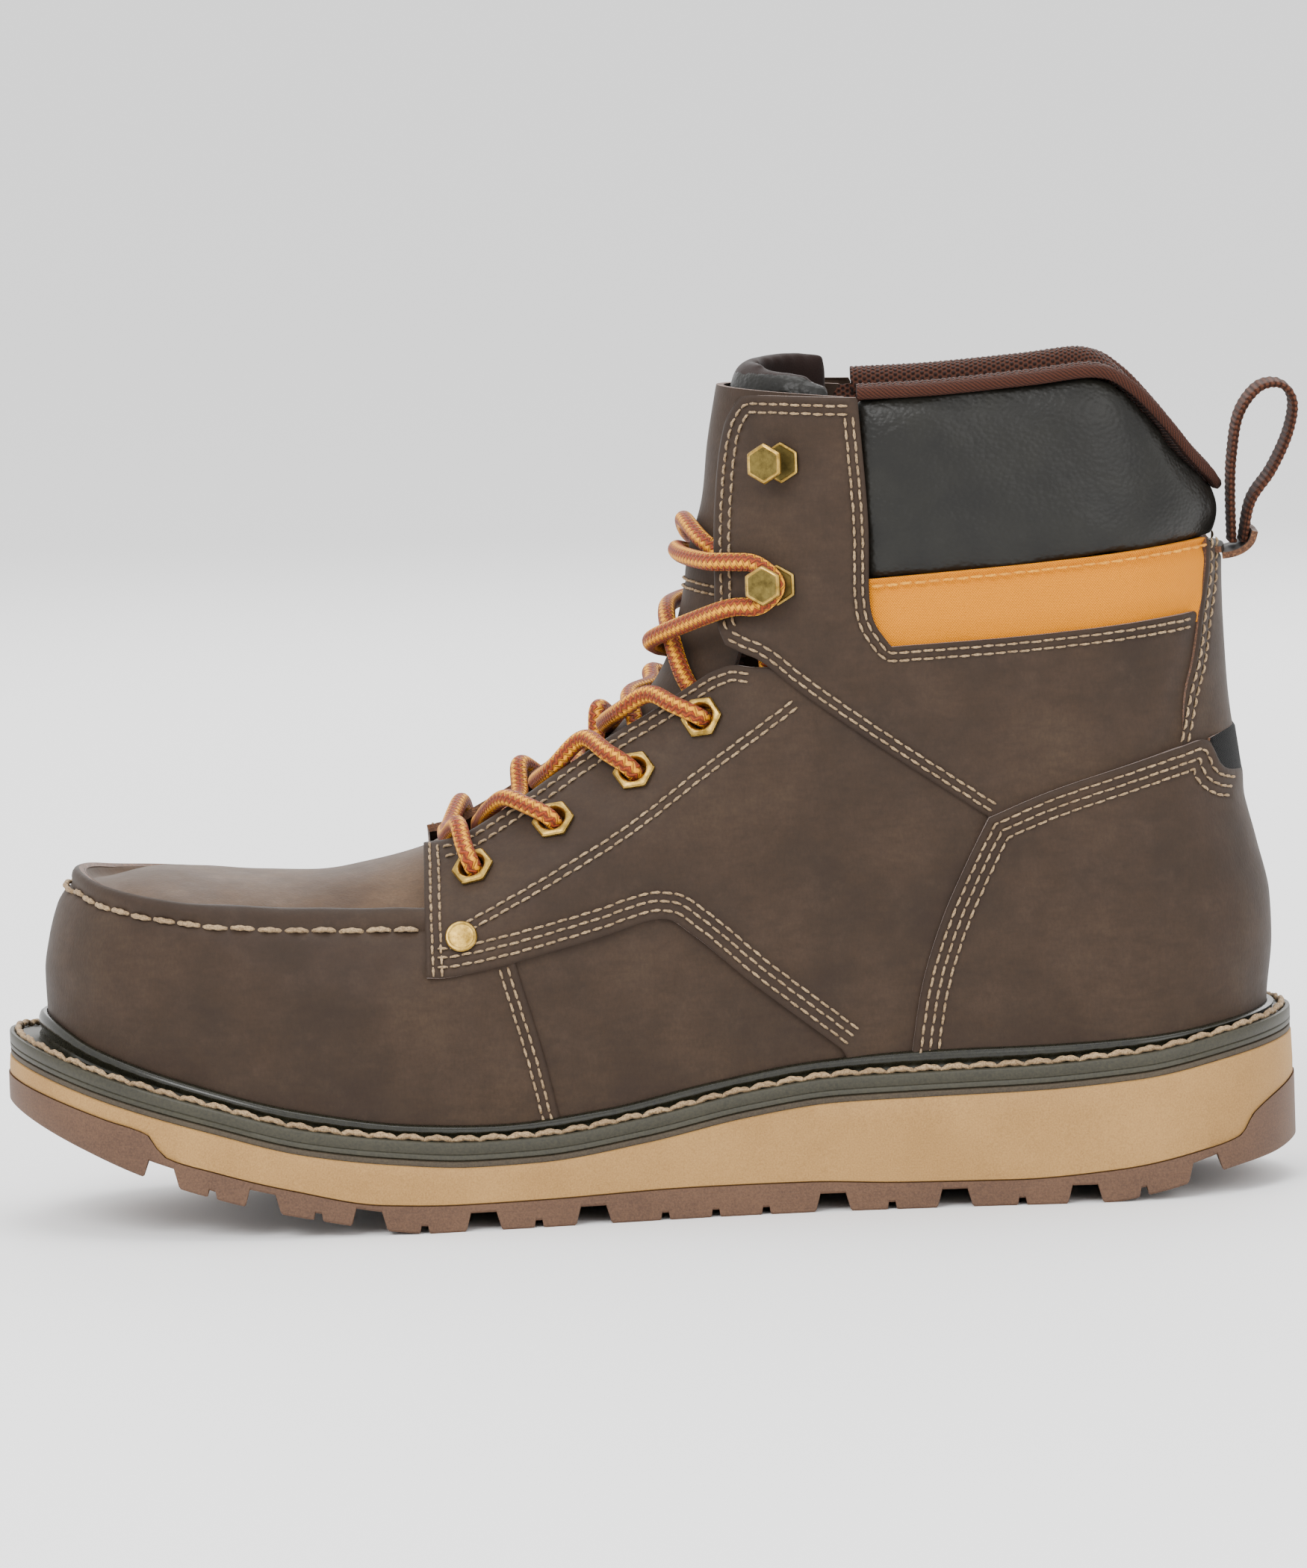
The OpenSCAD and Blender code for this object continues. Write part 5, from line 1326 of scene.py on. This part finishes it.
def tongue_front():
    rest, s, j, uv = tongue_grid(0, LEATHER_TO, 1, 0)
    pinch = 0.35 * np.exp(-((s - TONGUE_SEAM) / 0.07) ** 2) + 0.25 * ripple(rest, 9)
    upper = tongue_grid(0, LEATHER_TO, 1, 0.25 - pinch)[0]
    lower = tongue_grid(0, LEATHER_TO, 1, -TONGUE_T + 0.1)[0]
    for face in (upper, lower):
        face[..., 2] -= 2.4 * (1 - smooth(s / 0.9))
    rim = np.exp(-((1 - np.abs(j)) / 0.05) ** 2) + 0 * s
    piece = slab("tongue_front", upper, lower, [leather, raw_edge], body="tongue", uv=uv, floats={"rim": rim})
    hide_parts("tongue_leather")


def tongue_seam():
    threads = Threads()
    for off in (-0.07, 0.07):
        s, turn = np.full(60, TONGUE_SEAM + off), np.linspace(-54, 54, 60)
        p = on_tongue(s, turn, 0.3)
        threads.row(p, unit(on_tongue(s, turn, 1.3) - p), ROW_PITCH)
    threads.piece("tongue_seam", thread, "tongue")


def tongue_back():
    upper, _, _, uv = tongue_grid(1, PAD_FROM - 0.05, 0.96, -TONGUE_T - 0.1)
    lower = tongue_grid(1, PAD_FROM - 0.05, 0.96, -TONGUE_T - TONGUE_FOAM_T)[0]
    piece = slab("tongue_back_mesh", upper, lower, [mesh_cloth], body="tongue", uv=uv)
    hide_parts("tongue_lining")


def tongue_top():
    """The padded top: it leans back, and its far side stands higher."""
    j = np.linspace(-1, 1, 40)[None]
    top = 11.95 - 1.1 * smooth((np.abs(j) - 0.66) / 0.34) ** 1.5
    s = mix(PAD_FROM + 0.02, top, np.linspace(0, 1, 16)[:, None])
    turn = curve(tongue_turn, s) * j
    end = np.minimum(smooth((1 - np.abs(j)) / 0.2 + 0.35), smooth((top - s) / 0.45 + 0.1))
    behind = 1 - smooth((s - LEATHER_TO + 0.1) / 0.3)
    upper = on_tongue(s + 0 * j, turn, mix(-1.8, 0.2, end) * (1 - behind) - 2.1 * behind)
    lower = on_tongue(s + 0 * j, turn, mix(-4.2, -5.8, end))
    rise, side = smooth((s - PAD_FROM) / 1.2), smooth((np.abs(j) - 0.5) / 0.5)
    for face in (upper, lower):
        face[..., 0] += rise * (4.2 - 1.6 * side)
        face[..., 2] += rise * (0.9 + 3.2 * j - 4.2 * side)
    piece = slab("tongue_top_pad", upper, lower, [vinyl], body="tongue")
    swell(piece, 2.6, 1.4)
    two_faced(piece, vinyl, mesh_cloth, behind_pad)
    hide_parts("tongue_pad")


def behind_pad(p):
    """Whether points face the foot: they lie below the middle of the pad's thickness."""
    level, deep = 11.4, -3.6
    turns = np.linspace(-80, 80, 13)
    spine = on_tongue(np.full(13, level), turns, deep) + [0, 0, 1.5]
    turn = turns[np.argmin(np.linalg.norm(p[:, None] - spine, axis=2), axis=1)]
    middle = on_tongue(np.full(len(p), level), turn, deep)
    out = unit(on_tongue(np.full(len(p), level), turn, 0) - middle)
    return np.sum((p - middle) * out, -1) < -0.4


gusset_front = run([[-12, 88], [12, 108], [24, 119.5], [26, 136], [26.5, 150]])
gusset_back = run([[0, 84], [22, 103], [38, 118], [42, 134], [43, 148]])


def gusset(name, side):
    """Pleated cloth between tongue and quarter, seen through the gap above the facing."""
    edges = [onto(side, e) for e in (straight([gusset_front[0], gusset_back[0]]),
        straight([gusset_front[-1], gusset_back[-1]]), gusset_front, gusset_back)]
    g = coons(*edges, 1.0, fine=False)
    across = np.linspace(0, 1, g.shape[1])[None]
    deep = 2.65 + 0.35 * np.sin(across * 5 * 2 * math.pi) ** 2 + 0 * g[..., 0]
    piece = sheet("gusset_pleats_" + name, side, g, -deep, -deep - 0.6, [black_cloth], uv=g)
    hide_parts("gusset_" + name)


# ---- Hardware ----
def seat(side, at, lift=0.0):
    """Where a fitting sits on the leather: its origin, and directions along, up and out."""
    q = onto(side, np.array([at], float))
    n = outward(side, q)[0]
    out = unit(np.array([1.0, 0, 0]) - n * n[0])
    return place(side, q)[0] + n * lift, out, np.cross(n, out), n


def turned(name, loops, places, materials, sides=48, sorts=None):
    """Fittings from loops of (share of a hexagon, radius, height, shift), drawn at every place."""
    a = np.linspace(0, 2 * math.pi, sides, endpoint=False)
    verts, faces, sort, base = [], [], [], 0
    for origin, along_x, up, n, quarter_turn in places:
        start = math.radians(30 if quarter_turn else 0)
        six = (a - start + math.pi / 6) % (math.pi / 3) - math.pi / 6
        hexagon = math.cos(math.pi / 6) / np.cos(np.abs(six) - math.pi / 6)
        for share, r, h, shift in loops:
            size = r * mix(1.0, np.minimum(hexagon, 0.985), share)
            ring = (origin + along_x * (np.cos(a) * size + shift)[:, None]
                + up * (np.sin(a) * size)[:, None] + n * h)
            verts.append(ring)
        faces += quads(len(loops), sides, base, wrap=True)
        sort += [(sorts or {}).get(i // sides, 0) for i in range((len(loops) - 1) * sides)]
        if loops[0][1] != loops[-1][1] or loops[0][2] != loops[-1][2]:
            for k in (0, len(loops) - 1):
                cap = tuple(base + k * sides + i for i in range(sides))
                faces.append(cap[::-1] if k == 0 else cap)
                sort.append((sorts or {}).get(-1, 0))
        base += len(loops) * sides
    return solid(name, np.concatenate(verts), faces, materials, face_material=sort, sharp=32)


def hardware(name, side):
    r = EYELET_ACROSS / 2
    loops = [(1, r - 0.3, 0, 0), (1, r, 0.15, 0), (1, r, 0.75, 0), (1, r - 0.35, 1.15, 0),
        (1, r - 0.9, 1.3, 0), (0.4, 3.75, 1.32, 0), (0, 3.35, 1.2, 0), (0, 3.05, 0.8, 0),
        (0, 2.85, 0.1, 0), (0, 2.85, -2.8, 0), (0, 3.15, -2.8, 0), (0, 3.3, -0.1, 0), (1, r - 0.3, 0.0, 0)]
    places = [seat(side, e, 0.75) + (False,) for e in eyelet_places]
    piece = turned("eyelet_rings_" + name, loops, places, [brass])
    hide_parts("eyelets_" + name)
    r, head, lean = HOOK_ACROSS / 2, 1 + 4.8, -1.7
    foot = [(1, r - 0.4, 0, 0), (1, r, 0.15, 0), (1, r, 0.7, 0), (1, r - 0.35, 1, 0), (1, r - 0.6, 1, 0),
        (1, r - 0.8, 0.85, 0), (0, 1.7, 0.85, -3.2), (0, 1.35, 1.3, -3.5), (0, 1.25, 2.4, -3.6),
        (0, 1.3, head - 0.4, -3.6), (1, r - 0.4, head - 0.15, lean), (1, r, head + 0.1, lean),
        (1, r, head + 0.8, lean), (1, r - 0.3, head + 1.2, lean), (1, r - 0.65, head + 1.3, lean),
        (1, r - 0.95, head + 1.12, lean), (1, 0.3, head + 1.1, lean)]
    places = [seat(side, h, 0.75) + (True,) for h in hook_places]
    piece = turned("lace_hooks_" + name, foot, places, [brass_dark, brass],
        sorts={2: 1, 3: 1, 11: 1, 12: 1, 13: 1, 14: 1})
    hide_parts("hooks_" + name)


def studs():
    r = STUD_D / 2
    loops = [(0, r - 0.3, 0, 0), (0, r, 0.2, 0), (0, r, 0.6, 0), (0, r - 0.25, 0.95, 0),
        (0, r - 0.65, 1.0, 0), (0, r - 0.85, 0.86, 0), (0, r - 1.1, 0.84, 0), (0, r * 0.5, 0.95, 0),
        (0, 0.1, 1.0, 0)]
    places = [seat(side, stud_place, 0.8) + (False,) for side in (MEDIAL, LATERAL)]
    piece = turned("facing_studs", loops, places, [brass])
    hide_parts("rivet_studs")


# ---- Lace: its route's points are listed one by one, as the frame's solid has them ----
LACE_D = 4.4
LACE_LIFT = LACE_D / 2 + 0.4
TONGUE_LIFT = LACE_LIFT + 0.55
HOOK_LIFT = LACE_D / 2 + 1.4
TUCK = -LEATHER_T - LACE_D / 2 - 0.5


def over_leather(side, p, lift):
    return raised(side, onto(side, np.array([p], float)), np.array([lift]))[0]


def over_tongue(s, turn, lift=TONGUE_LIFT):
    return on_tongue(s, turn, lift)


def into_eyelet(side, k, peak, up):
    e, peak = np.array(eyelet_places[k], float), np.array(peak, float)
    return [over_leather(side, peak, LACE_LIFT + 0.5), over_leather(side, mix(peak, e, 0.5), LACE_LIFT + up),
        over_leather(side, mix(peak, e, 0.92), 2.1), over_leather(side, e, -2.2),
        over_leather(side, e + [-0.2, 1.8], -5.1)]


# Strands to the inner side and to the outer one: steps up the tongue, peak by the eyelet, extra height
to_medial = [[[1.3, 1.45, 1.65, 2], [-34.5, 97.6], 5], [[3, 3, 3.05, 3.5], [-15.2, 110.8], 5],
    [[4.75, 4.75, 4.65, 5.1], [1.2, 121.8], 5]]
to_lateral = [[[1.75, 2.15, 2.35, 2.5], [-31.5, 100.3], 0.8], [[3.3, 3.85, 3.95, 4.2], [-11.5, 114], 0.8],
    [[4.85, 5.15, 5.3, 5.55], [2, 122.8], 0.8]]


def strand(side, k):
    s, peak, up = (to_medial if side == LATERAL else to_lateral)[k]
    return [over_tongue(s[0], side * 41, LACE_LIFT + 0.2), over_tongue(s[1], side * 24), over_tongue(s[2], 0),
        over_tongue(s[3], -side * 27, TONGUE_LIFT + up)] + into_eyelet(-side, k + 1, peak, 0.9)


def laced(side):
    return ([over_tongue(0.55, 0, LACE_LIFT + 1.6), over_tongue(0.62, side * 22, LACE_LIFT + 2.4)]
        + into_eyelet(side, 0, [-46, 91.6], 0.6) + strand(side, 0) + strand(-side, 1) + strand(side, 2))


def round_hook(side):
    h = np.array(hook_places[0], float)
    turns = [[-8, -5.2], [-3.4, -4.9], [0.7, 0], [-3.4, 4.8], [-8.5, 5.2]]
    return ([over_leather(side, [17.5, 142.6], LACE_LIFT + 0.5)]
        + [over_leather(side, h + t, HOOK_LIFT) for t in turns]
        + [over_leather(side, h + [-14, 5], LACE_LIFT + 1)])


medial_end = ([over_tongue(6.15, 38, LACE_LIFT + 0.2), over_tongue(6.2, 22),
    over_tongue(6.25, 0, TONGUE_LIFT + 0.4), over_tongue(6.5, -20, TONGUE_LIFT + 4.7)] + round_hook(MEDIAL)
    + [over_tongue(8.1, -26, TONGUE_LIFT + 3.2), over_tongue(8.1, 0), over_tongue(8, 28),
    over_tongue(7.9, 46, 2.7), over_leather(LATERAL, [23.5, 149], TUCK - 0.3),
    over_leather(LATERAL, [25.5, 139], TUCK), over_leather(LATERAL, [27, 128], TUCK)])
lateral_end = ([over_tongue(6, -38, LACE_LIFT + 0.2), over_tongue(6.45, -22), over_tongue(6.95, 0),
    over_tongue(7.1, 26, TONGUE_LIFT + 2.5)] + round_hook(LATERAL)
    + [over_tongue(8.35, 26, TONGUE_LIFT + 2.5), over_tongue(8.65, 0), over_tongue(8.45, -28),
    over_tongue(8.2, -46, 2.5), over_leather(MEDIAL, [22, 151], TUCK - 0.5),
    over_leather(MEDIAL, [25, 140], TUCK), over_leather(MEDIAL, [26.5, 128], TUCK)])


def lace():
    """One cord from the lowest bar to both hooks and in behind the flaps."""
    one = run(laced(MEDIAL) + medial_end, 8)
    two = run(laced(LATERAL) + lateral_end, 8)
    knots = join(one[::-1], two)
    total = length(knots)
    path = along(knots, np.linspace(0, 1, int(total / 0.4)))
    path = np.pad(path, ((4, 4), (0, 0)), mode="edge")
    path = np.apply_along_axis(lambda v: np.convolve(v, np.ones(9) / 9, "valid"), 0, path)
    a = np.linspace(0, 2 * math.pi, 24, endpoint=False)[None]
    d = np.linspace(0, total, len(path))[:, None]
    spin = 0.6 * np.sin(d / 38)
    r = LACE_D / 2 - 0.05
    section = np.stack([np.cos(a) * r + 0 * d, np.sin(a) * r * 0.96 + 0 * d], -1)
    verts, faces = sweep(path, carried(path), section)
    floats = {"far": d + 0 * a, "around_x": np.cos(a + spin), "around_y": np.sin(a + spin)}
    piece = solid("lace_braided", verts, faces, [braid], sharp=180,
        floats={k: v.reshape(-1) for k, v in floats.items()})
    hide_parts("lace")


def lace_tips():
    loops, places = [(0, 1.5, 0, 0), (0, 1.7, -0.4, 0), (0, 1.72, -15.4, 0), (0, 1.3, -16.1, 0)], []
    for side, at in ((MEDIAL, [26.5, 128]), (LATERAL, [27, 128])):
        places.append((over_leather(side, at, TUCK), np.array([1.0, 0, 0]), np.array([0, 1.0, 0]),
            np.array([0, 0, 1.0]), False))
    piece = turned("lace_tip_films", loops, places, [lace_tip], 24)
    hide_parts("lace_tips")


# ---- Pull loop and its leather tab ----
loop_line = run([[140.6, 153.4], [140.6, 165], [141.2, 174], [143.2, 184], [148, 190.2], [153.4, 190.8],
    [156.2, 186.6], [154.8, 179], [150.6, 170.4], [145.4, 163], [143.2, 153.4]])
LOOP_W, LOOP_T = 18, 2


def pull_loop():
    line = along(loop_line, np.linspace(0, 1, 300))
    path = np.column_stack([line[:, 0], 0 * line[:, 0], line[:, 1]])
    path[:, 1] = 0.5 * np.sin(np.linspace(0, math.pi, 300))
    normals = np.cross(unit(np.gradient(path, axis=0)), [0, 1.0, 0])
    d = np.linspace(0, length(line), 300)
    flat = oval(LOOP_W, LOOP_T - 0.25, 40, 0.35)
    rib = 1 + 0.13 * np.sin(d * 2 * math.pi / 1.5)[:, None] * (np.abs(flat[:, 0]) < 8.6)
    section = np.stack([flat[None, :, 0] + 0 * rib, flat[None, :, 1] * rib], -1)
    verts, faces = sweep(path, normals, section)
    around = np.concatenate([flat[:20, 0], -flat[20:, 0]])
    uv = np.stack(np.broadcast_arrays(d[:, None], around[None]), -1).reshape(-1, 2)
    piece = solid("pull_loop_webbing", verts, faces, [webbing], None, uv=uv)
    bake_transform(piece)
    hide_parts("pull_loop")


def loop_tab():
    far = np.linspace(0, 1, 40)
    line = along(run([[135.8, 151.8], [139.4, 151.6], [142.4, 152.4], [144.4, 154.2], [145, 156.6]]), far)
    across = np.linspace(-1, 1, 26)
    rows = []
    for (x, z), t in zip(line, far):
        half = (LOOP_W + 6) / 2 * (1 - 0.06 * t)
        wrap = 1.6 * across**2 * (1 - t)
        rows.append(np.column_stack([x - wrap, across * half, 0 * across + z + 0.05 * np.sin(across * 7)]))
    upper = np.array(rows)
    n = unit(np.cross(np.gradient(upper, axis=0), np.gradient(upper, axis=1)))
    n = n * np.where(n[..., :1] < 0, -1, 1)
    rim = np.exp(-((1 - np.abs(across)) / 0.06) ** 2)[None] + 0 * upper[..., 0]
    piece = slab("loop_tab_leather", upper, upper + n * 1.5, [leather, raw_edge], floats={"rim": rim})
    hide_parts("loop_tab")


# ---- Everything in its place ----
outsole()
midsole()
midsole_strip()
welt()
welt_seam()
footbed()
for name, side in SIDES.items():
    side_threads = Threads()
    side_panel(name, side, side_threads)
    quarter(name, side, side_threads)
    shaft(name, side, side_threads)
    side_threads.piece("stitching_" + name, thread)
    inserts(name, side)
    collar(name, side)
    gusset(name, side)
    hardware(name, side)
end_threads = Threads()
vamp(end_threads)
counter(end_threads)
back_stay(end_threads)
heel_tag()
end_threads.piece("stitching_ends", thread)
moc_seam()
apron()
binding()
lining()
tongue_front()
tongue_seam()
tongue_back()
tongue_top()
studs()
lace()
lace_tips()
pull_loop()
loop_tab()
for node, look in {"insole_board": board, "shank": steel, "filler": cork, "toe_cap": steel,
        "toe_cap_edge": edge_rubber, "heel_stiffener": hard_plastic, "eyelet_washers": steel,
        "vamp_lining": lining_plain}.items():
    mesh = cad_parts[node].data
    mesh.materials.clear()
    mesh.materials.append(look)


# ---- Floor, light and camera ----
def floor():
    size = 40.0
    mesh = bpy.data.meshes.new("floor")
    corners = [(-size, -size, 0), (size, -size, 0), (size, size, 0), (-size, size, 0)]
    mesh.from_pydata(corners, [], [(0, 1, 2, 3)])
    look = Look("floor_pale", {"Base Color": (0.9, 0.9, 0.9, 1), "Roughness": 0.8, "Specular IOR Level": 0.2})
    look.bump(look.noise(30, 2), 0.01)
    mesh.materials.append(look.material)
    piece = link("floor", mesh)


def area_light(name, at, aim, size, power):
    data = bpy.data.lights.new(name, "AREA")
    data.shape, data.size, data.size_y = "RECTANGLE", size[0], size[1]
    data.energy = power
    light = link(name, data)
    light.location = at
    light.rotation_euler = (Vector(aim) - Vector(at)).to_track_quat("-Z", "Y").to_euler()


def studio():
    world = bpy.data.worlds.new("studio")
    world.use_nodes = True
    light = world.node_tree.nodes["Background"].inputs
    light["Color"].default_value, light["Strength"].default_value = (1, 1, 1, 1), 1.6
    bpy.context.scene.world = world
    aim = (0, 0, 0.09)
    area_light("key", (-0.7, -1.3, 1.25), aim, (0.9, 0.9), 26)
    area_light("fill", (0.9, -1.4, 0.6), aim, (1.0, 1.0), 10)
    area_light("top", (0.1, 0.2, 1.6), aim, (1.2, 0.8), 14)
    area_light("back", (0.2, 1.5, 0.9), aim, (1.4, 0.8), 12)


def camera():
    """A long lens from the inner side of the foot, six degrees above it, rolled a little."""
    view_width, distance, up, roll = 0.315, 2.4, math.radians(6), math.radians(-2.0)
    aim = Vector((-0.0003, 0, 0.0994))
    data = bpy.data.cameras.new("camera")
    data.sensor_fit = "HORIZONTAL"
    data.sensor_width = 36
    data.lens = data.sensor_width * distance / view_width
    data.clip_end = 50
    eye = link("camera", data)
    eye.location = aim + Vector((0, -math.cos(up), math.sin(up))) * distance
    turn = (aim - eye.location).to_track_quat("-Z", "Y").to_matrix().to_4x4()
    eye.rotation_euler = (turn @ Matrix.Rotation(roll, 4, "Z")).to_euler()
    bpy.context.scene.camera = eye


floor()
studio()
camera()
